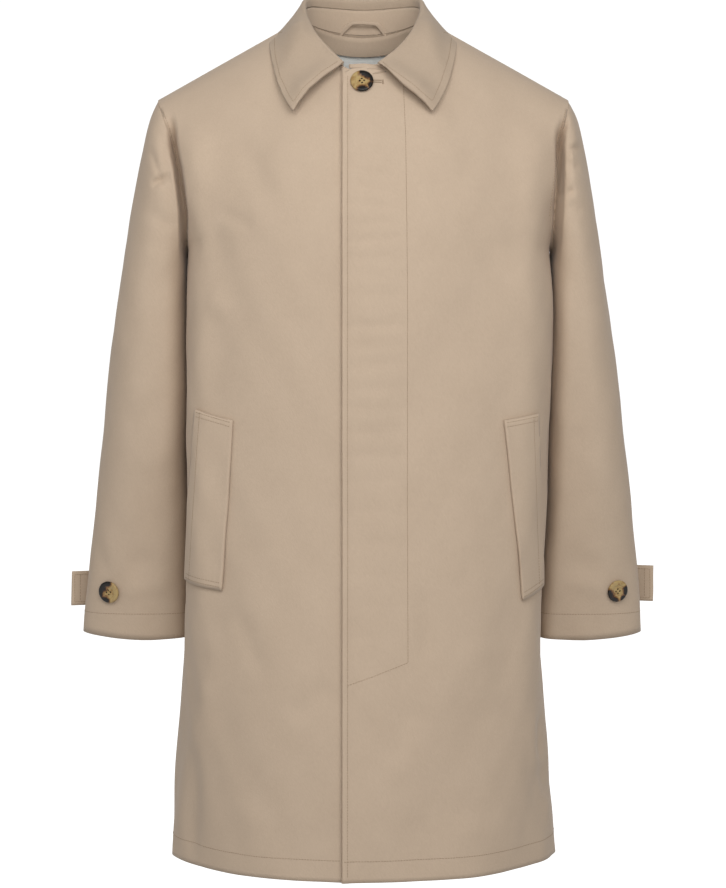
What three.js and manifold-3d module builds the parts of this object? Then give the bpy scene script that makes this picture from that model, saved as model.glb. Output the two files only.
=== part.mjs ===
// A single-breasted mackintosh coat in cotton gabardine, hollow and filled out as if worn.
// Millimetres. +Z is up, the front faces -Y and the wearer's left side is +X.
// The origin is in the middle of the neck opening, level with the points where the shoulder seams meet it.

import * as THREE from 'three';
import { mergeVertices } from 'three/addons/utils/BufferGeometryUtils.js';
import Module from 'manifold-3d';

const wasm = await Module();
wasm.setup();

// Layers and seams
const CLOTH_WALL = 1.6;
const COLLAR_WALL = 2.2;
const WELT_WALL = 2;
const TAB_WALL = 2.4;
const LOOP_WALL = 1.4;
const LINING_WALL = 1;
const HALF_SEAM_GAP = 0.17;
const NECK_SEAM_GAP = 0.3;
const LAID_ON_GAP = 1.1;
const MITRE_LIMIT = 0.42;

// Body
const HEM_Z = -977;
const UNDERARM_Z = -265;
const HEM_TO_UNDERARM_ROWS = 16;
const UNDERARM_TO_TOP_ROWS = 12;
const PLACKET_EDGE_X = -24;
const UNDERLAP_DEPTH = 2.3;
const UNDERLAP_STARTS = 62;
const UNDERLAP_TOP_GAP = 2;

// Neck opening, an oval that drops at the front
const NECK_HALF_WIDTH = 72;
const NECK_BACK_Y = 80;
const NECK_FRONT_Y = -92;
const NECK_BACK_DROP = 7;
const NECK_FRONT_DROP = 66;
const NECK_SIDE_Z = 3;

// Armhole, from the shoulder tip at its top to the underarm
const SHOULDER_TIP = { x: 241.5, y: 8, z: -90 };
const ARMHOLE_FRONT_BOW = 66;
const ARMHOLE_BACK_BOW = 78;

// How far the cloth carries on upward from the chest, and over at the shoulder, before it turns.
const CHEST_FULLNESS = 0.98;
const SHOULDER_FULLNESS = 0.85;

// Sections of the body from the hem up: the half-width to each side's seam, the distance forward and back
// of the origin, how far forward the widest line is on each side, and the squareness of the oval.
const BODY_SECTIONS = [
  { z: -977, right: 228.5, left: 228.5, front: 185, back: 165, widestRight: 0, widestLeft: 0, power: 2 },
  { z: -929, right: 225.5, left: 224.5, front: 181, back: 163, widestRight: -2, widestLeft: -2, power: 2.02 },
  { z: -873, right: 221, left: 220, front: 177, back: 161, widestRight: -5, widestLeft: -5, power: 2.05 },
  { z: -816, right: 215.5, left: 216, front: 172, back: 159, widestRight: -9, widestLeft: -9, power: 2.1 },
  { z: -759, right: 211, left: 212, front: 168, back: 157, widestRight: -12, widestLeft: -12, power: 2.15 },
  { z: -690, right: 209.5, left: 211, front: 163, back: 155, widestRight: -15, widestLeft: -16, power: 2.2 },
  { z: -610, right: 207.5, left: 213, front: 157, back: 154, widestRight: -19, widestLeft: -21, power: 2.2 },
  { z: -524, right: 206, left: 215, front: 152, back: 154, widestRight: -22, widestLeft: -26, power: 2.2 },
  { z: -461, right: 205.5, left: 217.5, front: 150, back: 154, widestRight: -25, widestLeft: -30, power: 2.2 },
  { z: -400, right: 205, left: 220, front: 149, back: 154, widestRight: -27, widestLeft: -32, power: 2.2 },
  { z: -340, right: 204, left: 221.5, front: 148, back: 153, widestRight: -26, widestLeft: -32, power: 2.2 },
  { z: -300, right: 204.5, left: 221.5, front: 147.5, back: 151.5, widestRight: -24, widestLeft: -28, power: 2.2 },
  { z: -265, right: 203.5, left: 219, front: 146.5, back: 150, widestRight: -5, widestLeft: -5, power: 2.2 },
];

// What differs between the two sides. Distances from the middle for the columns of the front near its edge,
// and the armhole's distance out at its middle and at the underarm.
const SIDES = {
  right: { sign: -1, nearEdge: [-24, -12, 0, 12, 24], armholeMiddle: 214, underarm: 203.5 },
  left: { sign: 1, nearEdge: [-24, -16, -4, 7, 17.5], armholeMiddle: 223, underarm: 219 },
};
const NECK_SEGMENTS_FRONT = 4;
const NECK_SEGMENTS_BACK = 5;
const SHOULDER_SEGMENTS = 6;

// Large soft folds of the body: where each runs as seen from the front or back, its half-width, and how deep
// the cloth goes in along it. The first of each side rolls the panel over the armhole seam.
const FOLDS = [
  { side: 'right', half: 'front', topX: 226, topZ: -118, lowX: 206, lowZ: -262, width: 14, deep: 10 },
  { side: 'right', half: 'back', topX: 227, topZ: -128, lowX: 208, lowZ: -262, width: 15, deep: 8 },
  { side: 'right', half: 'front', topX: 195, topZ: -800, lowX: 200, lowZ: -1080, width: 16, deep: 4 },
  { side: 'right', half: 'back', topX: 96, topZ: -190, lowX: 142, lowZ: -760, width: 38, deep: 6 },
  { side: 'right', half: 'back', topX: 60, topZ: -640, lowX: 40, lowZ: -1100, width: 34, deep: 5 },
  { side: 'left', half: 'front', topX: 228, topZ: -118, lowX: 218, lowZ: -254, width: 14, deep: 10 },
  { side: 'left', half: 'back', topX: 229, topZ: -130, lowX: 220, lowZ: -262, width: 15, deep: 8 },
  { side: 'left', half: 'front', topX: 196, topZ: -770, lowX: 204, lowZ: -930, width: 13, deep: 4 },
  { side: 'left', half: 'back', topX: 110, topZ: -230, lowX: 150, lowZ: -700, width: 42, deep: 5 },
  { side: 'left', half: 'back', topX: 84, topZ: -700, lowX: 98, lowZ: -1090, width: 36, deep: 6 },
];

// Rings of a sleeve from just below the armhole to the cuff: where the ring's outer and inner points are,
// how far back its middle is, and its girth. innerLeft is for the wider left side of the body.
const SLEEVE_RINGS = [
  { outer: 250.5, outerZ: -110, inner: 206, innerLeft: 223, innerZ: -269, middleY: 8, girth: 492 },
  { outer: 256.5, outerZ: -137, inner: 207, innerLeft: 224, innerZ: -275, middleY: 10, girth: 468 },
  { outer: 263, outerZ: -168, inner: 207.5, innerLeft: 224.3, innerZ: -288, middleY: 12, girth: 447 },
  { outer: 270, outerZ: -204, inner: 207, innerLeft: 223.5, innerZ: -306, middleY: 15, girth: 431 },
  { outer: 278, outerZ: -246, inner: 207, innerLeft: 221.5, innerZ: -330, middleY: 18, girth: 420 },
  { outer: 286, outerZ: -294, inner: 206, innerLeft: 220, innerZ: -359, middleY: 20, girth: 413 },
  { outer: 294.5, outerZ: -350, inner: 206, innerLeft: 219.5, innerZ: -398, middleY: 21, girth: 405 },
  { outer: 303, outerZ: -411, inner: 206, innerLeft: 219, innerZ: -444, middleY: 22, girth: 395 },
  { outer: 310, outerZ: -474, inner: 206, innerLeft: 218, innerZ: -497, middleY: 25, girth: 384 },
  { outer: 317.5, outerZ: -537, inner: 206, innerLeft: 216, innerZ: -554, middleY: 30, girth: 371 },
  { outer: 324.5, outerZ: -600, inner: 206.5, innerLeft: 213, innerZ: -613, middleY: 35, girth: 357 },
  { outer: 330.5, outerZ: -662, inner: 207, innerLeft: 210, innerZ: -675, middleY: 39, girth: 342 },
  { outer: 335.5, outerZ: -718, inner: 207.5, innerLeft: 208.5, innerZ: -733, middleY: 42, girth: 328 },
];

// Beside the body a sleeve is pressed squarer than an oval, whose squareness is 2.
const SLEEVE_SQUARENESS = 2.6;

// Collar stations from the middle of the back to each front end: where the roll and the outer edge run.
const COLLAR_STATIONS = [
  { rollX: 0, rollY: 78, rollZ: 36, edgeX: 0, edgeY: 102, edgeZ: -24 },
  { rollX: 22.5, rollY: 75, rollZ: 36, edgeX: 33, edgeY: 99, edgeZ: -25 },
  { rollX: 45, rollY: 65, rollZ: 35.5, edgeX: 64, edgeY: 88, edgeZ: -25.5 },
  { rollX: 64, rollY: 48, rollZ: 34, edgeX: 89, edgeY: 66, edgeZ: -25 },
  { rollX: 70, rollY: 24, rollZ: 28.5, edgeX: 102.5, edgeY: 35, edgeZ: -21 },
  { rollX: 67, rollY: -4, rollZ: 14, edgeX: 108, edgeY: 3, edgeZ: -12 },
  { rollX: 61, rollY: -30, rollZ: -2, edgeX: 106, edgeY: -45, edgeZ: -42 },
  { rollX: 53, rollY: -59, rollZ: -19, edgeX: 99.5, edgeY: -80, edgeZ: -71 },
  { rollX: 39, rollY: -81, rollZ: -37.5, edgeX: 89, edgeY: -99, edgeZ: -95.5 },
  { rollX: 23.4, rollY: -93, rollZ: -55, edgeX: 79, edgeY: -107, edgeZ: -111 },
];

// The left end of the collar stops nearer the middle than the right end, and its front edge droops more.
const COLLAR_ENDS = { right: { rollX: 23.4, droop: 0 }, left: { rollX: 17.5, droop: 5 } };
const SEAM_BELOW_ROLL_BACK = 14;
const SEAM_BELOW_ROLL_FRONT = 4.8;
const ROLL_RADIUS_BACK = 4.4;
const ROLL_RADIUS_FRONT = 2.9;
const LEAF_ROWS = 6;
// Over the shoulder the leaf falls straighter than at the front and the back.
const LEAF_SHOULDER_PLACE = 0.5;
const LEAF_SHOULDER_STRAIGHTNESS = 0.8;
const LEAF_COLUMNS_PER_STATION = 2;
const LEAF_CLEARANCE = 3.8;

// Corners of the pocket welts as seen from the front: distance from the middle and height.
const WELTS = {
  right: { topInner: [147, -461], topOuter: [191.5, -449], lowInner: [160, -655], lowOuter: [205, -648] },
  left: { topInner: [159.5, -461], topOuter: [200, -454], lowInner: [182, -668], lowOuter: [208, -655] },
};

// Loose straps behind the cuffs
const TAB_TOP_Z = -648;
const TAB_WIDTH = 40;
const TAB_ROOT_X = 258;
const TAB_LEAVES_X = 290;
const TAB_FREE_LENGTH = 70;

// Buttons
const BUTTON_DIAMETER = 26.3;
const BUTTON_HEIGHT = 3.8;
const BUTTON_RIM_WIDTH = 3.4;
const BUTTON_DISH_DEPTH = 1.3;
const BUTTON_HOLE_DIAMETER = 2.4;
const BUTTON_HOLE_SPACING = 4.4;
const BUTTON_LIFT = 0.8;
const NECK_BUTTON = { x: -2, z: -74 };
const CUFF_BUTTON = { x: 304, z: -670 };

// The hanging loop inside the back neck, as its middle line runs from foot to foot.
const LOOP_WIDTH = 7.5;
const LOOP_LINE = [
  { x: -28, z: -3.2 },
  { x: -22, z: 1.2 },
  { x: -12, z: 5.8 },
  { x: 0, z: 6.6 },
  { x: 13, z: 5.4 },
  { x: 23, z: 0.9 },
  { x: 29, z: -3.2 },
];

function smooth(t) {
  const c = Math.min(1, Math.max(0, t));
  return c * c * (3 - 2 * c);
}

function mix(a, b, t) {
  return a + (b - a) * t;
}

// The value of one column of a table at a height, through a smooth curve.
function columnAt(table, key, z) {
  let i = 0;
  while (i < table.length - 2 && z > table[i + 1].z) i++;
  const before = table[Math.max(0, i - 1)];
  const low = table[i];
  const high = table[i + 1];
  const after = table[Math.min(table.length - 1, i + 2)];
  const t = (z - low.z) / (high.z - low.z);
  const slopeLow = ((high[key] - before[key]) / (high.z - before.z)) * (high.z - low.z);
  const slopeHigh = ((after[key] - low[key]) / (after.z - low.z)) * (high.z - low.z);
  const t2 = t * t;
  const t3 = t2 * t;
  return (2 * t3 - 3 * t2 + 1) * low[key] + (t3 - 2 * t2 + t) * slopeLow
    + (3 * t2 - 2 * t3) * high[key] + (t3 - t2) * slopeHigh;
}

// A point of the body below the armholes. turn is 0 at the middle of the front or back and 90 at the side.
function sectionPoint(side, half, turn, z) {
  const width = columnAt(BODY_SECTIONS, side, z);
  const depth = columnAt(BODY_SECTIONS, half, z) * (half === 'front' ? -1 : 1);
  const widest = columnAt(BODY_SECTIONS, side === 'left' ? 'widestLeft' : 'widestRight', z);
  const power = 2 / columnAt(BODY_SECTIONS, 'power', z);
  const angle = THREE.MathUtils.degToRad(turn);
  const across = Math.sign(Math.sin(angle)) * Math.abs(Math.sin(angle)) ** power;
  const deep = Math.abs(Math.cos(angle)) ** power;
  return new THREE.Vector3(SIDES[side].sign * width * across, mix(widest, depth, deep), z);
}

function turnFor(side, x, z) {
  const share = Math.abs(x) / columnAt(BODY_SECTIONS, side, z);
  const power = columnAt(BODY_SECTIONS, 'power', z) / 2;
  return Math.sign(x) * THREE.MathUtils.radToDeg(Math.asin(share ** power));
}

// A point of the neck opening. turn is 0 at the middle of the back and 180 at the middle of the front.
function neckPoint(side, turn) {
  const angle = THREE.MathUtils.degToRad(turn);
  const middle = (NECK_BACK_Y + NECK_FRONT_Y) / 2;
  const reach = (NECK_BACK_Y - NECK_FRONT_Y) / 2;
  const drop = turn < 90 ? NECK_BACK_DROP : NECK_FRONT_DROP;
  return new THREE.Vector3(
    SIDES[side].sign * NECK_HALF_WIDTH * Math.sin(angle),
    middle + reach * Math.cos(angle),
    mix(NECK_SIDE_Z, -drop, Math.cos(angle) ** 2),
  );
}

// A point of an armhole. turn is 0 at the shoulder tip and 180 at the underarm.
function armholePoint(side, half, turn) {
  const angle = THREE.MathUtils.degToRad(turn);
  const reach = (SHOULDER_TIP.z - UNDERARM_Z) / 2;
  const bow = half === 'front' ? -ARMHOLE_FRONT_BOW : ARMHOLE_BACK_BOW;
  const { sign, armholeMiddle, underarm } = SIDES[side];
  const high = Math.cos(angle);
  const outward = armholeMiddle + ((SHOULDER_TIP.x - underarm) / 2) * high
    + ((SHOULDER_TIP.x + underarm) / 2 - armholeMiddle) * high * high;
  return new THREE.Vector3(
    sign * outward,
    mix(-5, SHOULDER_TIP.y, (1 + high) / 2) + bow * Math.sin(angle),
    SHOULDER_TIP.z - reach * (1 - high),
  );
}

// Columns of one half of a front or back, from its middle to the side: where each starts on the underarm
// section, where it ends on the neck or shoulder seam, and the way it runs in there.
function columnsOf(side, half) {
  const columns = [];
  const neck = half === 'front' ? SIDES[side].nearEdge : [0];
  const neckSegments = half === 'front' ? NECK_SEGMENTS_FRONT : NECK_SEGMENTS_BACK;
  const lastX = neck[neck.length - 1];
  const lastNeckTurn = half === 'front'
    ? 180 - THREE.MathUtils.radToDeg(Math.asin(lastX / NECK_HALF_WIDTH)) : 0;
  const segments = neckSegments + SHOULDER_SEGMENTS;
  for (const x of neck) {
    columns.push({ x, share: 0, neckX: x });
  }
  for (let i = 1; i <= segments; i++) {
    columns.push({
      x: lastX,
      share: i / segments,
      neckTurn: mix(lastNeckTurn, 90, Math.min(1, i / neckSegments)),
      shoulder: Math.max(0, i - neckSegments) / SHOULDER_SEGMENTS,
    });
  }
  return columns;
}

function columnTop(side, half, column) {
  if (column.neckX !== undefined) {
    const fromMiddle = THREE.MathUtils.radToDeg(Math.asin(column.neckX / NECK_HALF_WIDTH));
    return neckPoint(side, half === 'front' ? 180 - fromMiddle : fromMiddle);
  }
  const neckEnd = neckPoint(side, column.neckTurn);
  const tip = new THREE.Vector3(SIDES[side].sign * SHOULDER_TIP.x, SHOULDER_TIP.y, SHOULDER_TIP.z);
  return neckEnd.lerp(tip, column.shoulder);
}

// A point of the body above the underarm. rise is 0 at the underarm level and 1 at the neck or shoulder.
function yokePoint(side, half, column, rise) {
  const turnAt = (z) => mix(turnFor(side, column.x, z), 90, column.share);
  const base = sectionPoint(side, half, turnAt(UNDERARM_Z), UNDERARM_Z);
  const below = sectionPoint(side, half, turnAt(UNDERARM_Z - 20), UNDERARM_Z - 20);
  const top = columnTop(side, half, column);
  const reach = base.distanceTo(top);
  const upward = base.clone().sub(below).normalize().multiplyScalar(reach * CHEST_FULLNESS);
  const toSide = smooth(column.share * 1.6);
  const over = half === 'front'
    ? new THREE.Vector3(0, mix(0.42, 0.95, toSide), mix(0.9, 0.31, toSide))
    : new THREE.Vector3(0, mix(-0.55, -0.92, toSide), mix(0.84, 0.39, toSide));
  over.normalize().multiplyScalar(reach * SHOULDER_FULLNESS);
  const t2 = rise * rise;
  const t3 = t2 * rise;
  const point = new THREE.Vector3()
    .addScaledVector(base, 2 * t3 - 3 * t2 + 1)
    .addScaledVector(upward, t3 - 2 * t2 + rise)
    .addScaledVector(top, 3 * t2 - 2 * t3)
    .addScaledVector(over, t3 - t2);
  return point;
}

// Presses the folds of one half of the body into a point. hold is 0 where a seam keeps the cloth flat.
function folded(side, half, point, hold) {
  const place = new THREE.Vector2(Math.abs(point.x), point.z);
  for (const fold of FOLDS.filter((each) => each.side === side && each.half === half)) {
    const top = new THREE.Vector2(fold.topX, fold.topZ);
    const along = new THREE.Vector2(fold.lowX, fold.lowZ).sub(top);
    const t = Math.min(1, Math.max(0, place.clone().sub(top).dot(along) / along.lengthSq()));
    const distance = place.distanceTo(top.addScaledVector(along, t));
    const deep = fold.deep * Math.exp(-((distance / fold.width) ** 2)) * smooth(t * 4) * smooth((1 - t) * 4);
    point.y += (half === 'front' ? deep : -deep) * hold;
  }
  return point;
}

function bodyPoint(side, half, column, row) {
  if (row <= HEM_TO_UNDERARM_ROWS) {
    const z = mix(HEM_Z, UNDERARM_Z, row / HEM_TO_UNDERARM_ROWS);
    const point = sectionPoint(side, half, mix(turnFor(side, column.x, z), 90, column.share), z);
    return folded(side, half, point, smooth((1 - column.share) * 6));
  }
  const rise = (row - HEM_TO_UNDERARM_ROWS) / UNDERARM_TO_TOP_ROWS;
  const point = yokePoint(side, half, column, rise);
  const pull = column.share ** 2;
  const sideEdge = yokePoint(side, half, { x: column.x, share: 1, neckTurn: 90, shoulder: 1 }, rise);
  point.add(armholePoint(side, half, 180 * (1 - rise)).sub(sideEdge).multiplyScalar(pull));
  return folded(side, half, point, 1);
}

function bodyHalf(side, half) {
  const columns = columnsOf(side, half);
  const rows = [];
  for (let row = 0; row <= HEM_TO_UNDERARM_ROWS + UNDERARM_TO_TOP_ROWS; row++) {
    rows.push(columns.map((column) => bodyPoint(side, half, column, row)));
  }
  return rows;
}

// Walls
// A panel is a grid of points on its outer face, with columns running anticlockwise seen from above and rows
// running up. Panels of one group share their directions at a seam, and two groups that meet are mitred.

function faceNormals(panel) {
  const { rows, closed, flip } = panel;
  const count = rows[0].length;
  const normals = rows.map((row) => row.map(() => new THREE.Vector3()));
  const lastColumn = closed ? count : count - 1;
  for (let r = 0; r < rows.length - 1; r++) {
    for (let c = 0; c < lastColumn; c++) {
      const next = (c + 1) % count;
      const across = rows[r][next].clone().sub(rows[r][c]).add(rows[r + 1][next]).sub(rows[r + 1][c]);
      const up = rows[r + 1][c].clone().sub(rows[r][c]).add(rows[r + 1][next]).sub(rows[r][next]);
      const normal = across.cross(up).multiplyScalar(flip ? -1 : 1);
      for (const [i, j] of [[r, c], [r, next], [r + 1, c], [r + 1, next]]) {
        normals[i][j].add(normal);
      }
    }
  }
  return normals.map((row) => row.map((normal) => normal.normalize()));
}

function keyOf(point) {
  return [point.x, point.y, point.z].map((value) => Math.round(value * 20)).join(' ');
}

function finishPanels(panels) {
  const meeting = new Map();
  for (const panel of panels) {
    panel.normals = faceNormals(panel);
    panel.rows.forEach((row, r) => row.forEach((point, c) => {
      const key = keyOf(point);
      if (!meeting.has(key)) meeting.set(key, {});
      const groups = meeting.get(key);
      groups[panel.group] ??= new THREE.Vector3();
      groups[panel.group].add(panel.normals[r][c]);
    }));
  }
  for (const panel of panels) {
    panel.inner = panel.rows.map((row, r) => row.map((point) => {
      const groups = meeting.get(keyOf(point));
      const own = groups[panel.group].clone().normalize();
      const shared = new THREE.Vector3();
      for (const normal of Object.values(groups)) {
        shared.add(normal.clone().normalize());
      }
      shared.normalize();
      const slant = Math.max(MITRE_LIMIT, shared.dot(own));
      return point.clone().addScaledVector(shared, -panel.wall / slant);
    }));
    insetSeams(panel, panel.rows.map((row) => row.map((point) => {
      const groups = Object.values(meeting.get(keyOf(point)));
      const sum = groups.reduce((all, normal) => all.add(normal.clone().normalize()), new THREE.Vector3());
      return Math.max(MITRE_LIMIT, sum.length() / groups.length);
    })));
  }
}

// Draws the edges that meet another panel back by half the seam gap.
function insetSeams(panel, slants) {
  const { seams } = panel;
  const lastRow = panel.rows.length - 1;
  const lastColumn = panel.rows[0].length - 1;
  const lines = {
    bottom: (c) => [0, c, 1, c],
    top: (c) => [lastRow, c, lastRow - 1, c],
    start: (r) => [r, 0, r, 1],
    end: (r) => [r, lastColumn, r, lastColumn - 1],
  };
  for (const [edge, gap] of Object.entries(seams)) {
    const count = edge === 'bottom' || edge === 'top' ? lastColumn + 1 : lastRow + 1;
    for (let i = 0; i < count; i++) {
      const [r, c, nextR, nextC] = lines[edge](i);
      const back = typeof gap === 'function' ? gap(i) : gap;
      for (const grid of [panel.rows, panel.inner]) {
        const along = grid[nextR][nextC].clone().sub(grid[r][c]).normalize();
        grid[r][c].addScaledVector(along, back / slants[r][c]);
      }
    }
  }
}

function meshFromTriangles(name, positions, indices, look) {
  const geometry = new THREE.BufferGeometry();
  geometry.setAttribute('position', new THREE.Float32BufferAttribute(positions, 3));
  geometry.setIndex(indices);
  geometry.computeVertexNormals();
  const mesh = new THREE.Mesh(geometry, new THREE.MeshStandardMaterial(look));
  mesh.name = name;
  return mesh;
}

// One closed wall between a grid of outer points and the grid of inner points behind it.
function wallMesh(name, outer, inner, closed, flip, look) {
  const rowCount = outer.length;
  const columnCount = outer[0].length;
  const positions = [];
  for (const grid of [outer, inner]) {
    for (const row of grid) {
      for (const point of row) positions.push(point.x, point.y, point.z);
    }
  }
  const front = (r, c) => r * columnCount + (c % columnCount);
  const behind = (r, c) => rowCount * columnCount + front(r, c);
  const indices = [];
  const quad = (a, b, c, d) => {
    if (flip) indices.push(a, c, b, a, d, c);
    else indices.push(a, b, c, a, c, d);
  };
  const lastColumn = closed ? columnCount : columnCount - 1;
  for (let r = 0; r < rowCount - 1; r++) {
    for (let c = 0; c < lastColumn; c++) {
      quad(front(r, c), front(r, c + 1), front(r + 1, c + 1), front(r + 1, c));
      quad(behind(r, c), behind(r + 1, c), behind(r + 1, c + 1), behind(r, c + 1));
    }
  }
  const top = rowCount - 1;
  for (let c = 0; c < lastColumn; c++) {
    quad(front(0, c), behind(0, c), behind(0, c + 1), front(0, c + 1));
    quad(front(top, c), front(top, c + 1), behind(top, c + 1), behind(top, c));
  }
  if (!closed) {
    for (let r = 0; r < top; r++) {
      quad(front(r, 0), front(r + 1, 0), behind(r + 1, 0), behind(r, 0));
      quad(front(r, lastColumn), behind(r, lastColumn), behind(r + 1, lastColumn), front(r + 1, lastColumn));
    }
  }
  return meshFromTriangles(name, positions, indices, look);
}

function panelMesh(panel) {
  return wallMesh(panel.name, panel.rows, panel.inner, panel.closed, panel.flip, panel.look);
}

// Looks of the materials
const COAT_CLOTH = { color: 0xb8a68f, roughness: 0.9, metalness: 0 };
const PALE_LINING = { color: 0xbcc4c4, roughness: 0.8, metalness: 0 };
const TORTOISE = { color: 0x5a3a22, roughness: 0.3, metalness: 0 };

// Body panels
const halves = {};
for (const side of ['right', 'left']) {
  for (const half of ['front', 'back']) halves[`${half} ${side}`] = bodyHalf(side, half);
}
const frontRightRows = halves['front right'].map((row) => [...row].reverse());
const frontLeftRows = halves['front left'];
const backRows = halves['back left'].map((row, r) => [
  ...[...row].reverse(),
  ...halves['back right'][r].slice(1),
]);

// The right front runs on under the placket, so it steps back there by more than the thickness of the left one.
function stepUnderPlacket(rows) {
  const normals = faceNormals({ rows, closed: false, flip: false });
  return rows.map((row, r) => row.map((point, c) => {
    const fromSide = -point.x;
    const under = smooth((UNDERLAP_STARTS - fromSide) / (UNDERLAP_STARTS + PLACKET_EDGE_X - 3));
    return point.clone().addScaledVector(normals[r][c], -UNDERLAP_DEPTH * under);
  }));
}

// Behind the placket its top edge also stops a little below the stand.
const lappedColumns = 3;
const firstLapped = frontRightRows[0].length - lappedColumns;
const underlapTop = (column) => (column >= firstLapped ? UNDERLAP_TOP_GAP : HALF_SEAM_GAP);

const frontRight = {
  name: 'front_right', group: 'body', wall: CLOTH_WALL, rows: stepUnderPlacket(frontRightRows),
  seams: { top: underlapTop, start: HALF_SEAM_GAP }, look: COAT_CLOTH,
};
const frontLeft = {
  name: 'front_left', group: 'body', wall: CLOTH_WALL, rows: frontLeftRows,
  seams: { top: HALF_SEAM_GAP, end: HALF_SEAM_GAP }, look: COAT_CLOTH,
};
const back = {
  name: 'back', group: 'body', wall: CLOTH_WALL, rows: backRows,
  seams: { top: HALF_SEAM_GAP, start: HALF_SEAM_GAP, end: HALF_SEAM_GAP }, look: COAT_CLOTH,
};

// Sleeves
function sleeveRing(side, ring, turns) {
  const sign = SIDES[side].sign;
  const innerX = side === 'left' ? ring.innerLeft : ring.inner;
  const outer = new THREE.Vector3(sign * ring.outer, ring.middleY, ring.outerZ);
  const inner = new THREE.Vector3(sign * innerX, ring.middleY, ring.innerZ);
  const middle = outer.clone().lerp(inner, 0.5);
  const out = outer.clone().sub(middle);
  const radius = ring.girth / (2 * Math.PI);
  const depth = Math.sqrt(2 * radius * radius - out.lengthSq());
  return turns.map((turn) => {
    const angle = THREE.MathUtils.degToRad(turn);
    const power = Math.cos(angle) < 0 ? 2 / SLEEVE_SQUARENESS : 1;
    const outward = Math.sign(Math.cos(angle)) * Math.abs(Math.cos(angle)) ** power;
    const forward = Math.sign(Math.sin(angle)) * Math.abs(Math.sin(angle)) ** power;
    return middle.clone().addScaledVector(out, outward).add(new THREE.Vector3(0, -depth * forward, 0));
  });
}

function sleevePanel(side, front, backGrid) {
  const armholeFront = [];
  const armholeBack = [];
  for (let row = HEM_TO_UNDERARM_ROWS; row <= HEM_TO_UNDERARM_ROWS + UNDERARM_TO_TOP_ROWS; row++) {
    const frontColumn = side === 'left' ? front.rows[0].length - 1 : 0;
    const backColumn = side === 'left' ? 0 : backGrid.rows[0].length - 1;
    armholeFront.push(front.rows[row][frontColumn].clone());
    armholeBack.push(backGrid.rows[row][backColumn].clone());
  }
  const first = [...armholeFront.reverse(), ...armholeBack.slice(1, -1)];
  const turns = first.map((point, i) => (360 * i) / first.length);
  const rows = [first, ...SLEEVE_RINGS.map((ring) => sleeveRing(side, ring, turns))];
  return {
    name: `sleeve_${side}`, group: `sleeve ${side}`, wall: CLOTH_WALL, rows, closed: true,
    flip: side === 'right', seams: { bottom: HALF_SEAM_GAP }, look: COAT_CLOTH,
  };
}

const sleeveRight = sleevePanel('right', frontRight, back);
const sleeveLeft = sleevePanel('left', frontLeft, back);

const panels = [frontRight, frontLeft, back, sleeveRight, sleeveLeft];

// Collar stand
// It starts at the roll's right end, goes round the back and ends past the middle of the front, over the placket.
const topRow = HEM_TO_UNDERARM_ROWS + UNDERARM_TO_TOP_ROWS;
const rollEndColumn = SIDES.right.nearEdge.length - 1;
const neckPointColumn = rollEndColumn + NECK_SEGMENTS_FRONT;
const neckRight = [...frontRight.rows[topRow]].reverse().slice(rollEndColumn, neckPointColumn);
const neckLeft = frontLeft.rows[topRow].slice(1, neckPointColumn + 1);
const backMiddle = NECK_SEGMENTS_BACK + SHOULDER_SEGMENTS;
const neckBack = back.rows[topRow].slice(backMiddle - NECK_SEGMENTS_BACK, backMiddle + NECK_SEGMENTS_BACK + 1);
const neckLine = [...neckRight, ...neckBack.reverse(), ...neckLeft.reverse().slice(1)].map((p) => p.clone());
const stationCount = 2 * (NECK_SEGMENTS_FRONT + NECK_SEGMENTS_BACK) + 1;

const lastStation = COLLAR_STATIONS.length - 1;
const collarLines = {};
for (const side of ['right', 'left']) {
  const { sign } = SIDES[side];
  collarLines[side] = { roll: [], edge: [] };
  COLLAR_STATIONS.forEach((station, i) => {
    const rollX = i === lastStation ? COLLAR_ENDS[side].rollX : station.rollX;
    collarLines[side].roll.push(new THREE.Vector3(sign * rollX, station.rollY, station.rollZ));
    collarLines[side].edge.push(new THREE.Vector3(sign * station.edgeX, station.edgeY, station.edgeZ));
  });
}

// A point of a smooth line through points, at a place between 0 and the last one's number. Before the
// first point, the line goes on as its own reflection.
function lineAt(points, place) {
  const i = Math.min(points.length - 2, Math.floor(place));
  const mirrored = new THREE.Vector3(-points[1].x, points[1].y, points[1].z);
  const before = i > 0 ? points[i - 1] : mirrored;
  const after = points[i + 2] ?? points[i + 1].clone().multiplyScalar(2).sub(points[i]);
  const curve = new THREE.CatmullRomCurve3([before, points[i], points[i + 1], after], false, 'catmullrom', 0.5);
  return curve.getPoint((1 + place - i) / 3);
}

function straightAt(points, place) {
  const i = Math.min(points.length - 2, Math.floor(place));
  return points[i].clone().lerp(points[i + 1], place - i);
}

// The roll and the outer edge at a place along the collar, from 0 at its right end to its left end.
function rollAndEdge(place) {
  const fromBack = Math.abs(place - lastStation);
  const side = place < lastStation ? 'right' : 'left';
  return {
    side,
    forward: fromBack / lastStation,
    roll: lineAt(collarLines[side].roll, fromBack),
    edge: lineAt(collarLines[side].edge, fromBack),
  };
}

// Past the end of the roll the stand is a low band along the front neck seam.
function standTop(index) {
  const neck = neckLine[index];
  if (index < stationCount) {
    const { roll, forward } = rollAndEdge(index);
    const below = mix(SEAM_BELOW_ROLL_BACK, SEAM_BELOW_ROLL_FRONT, forward);
    return neck.clone().lerp(roll, Math.max(0.25, 1 - below / roll.distanceTo(neck)));
  }
  const past = index - stationCount + 1;
  return neck.clone().add(new THREE.Vector3(0, -0.5, mix(5.4, 4.6, past / 3)));
}

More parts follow.
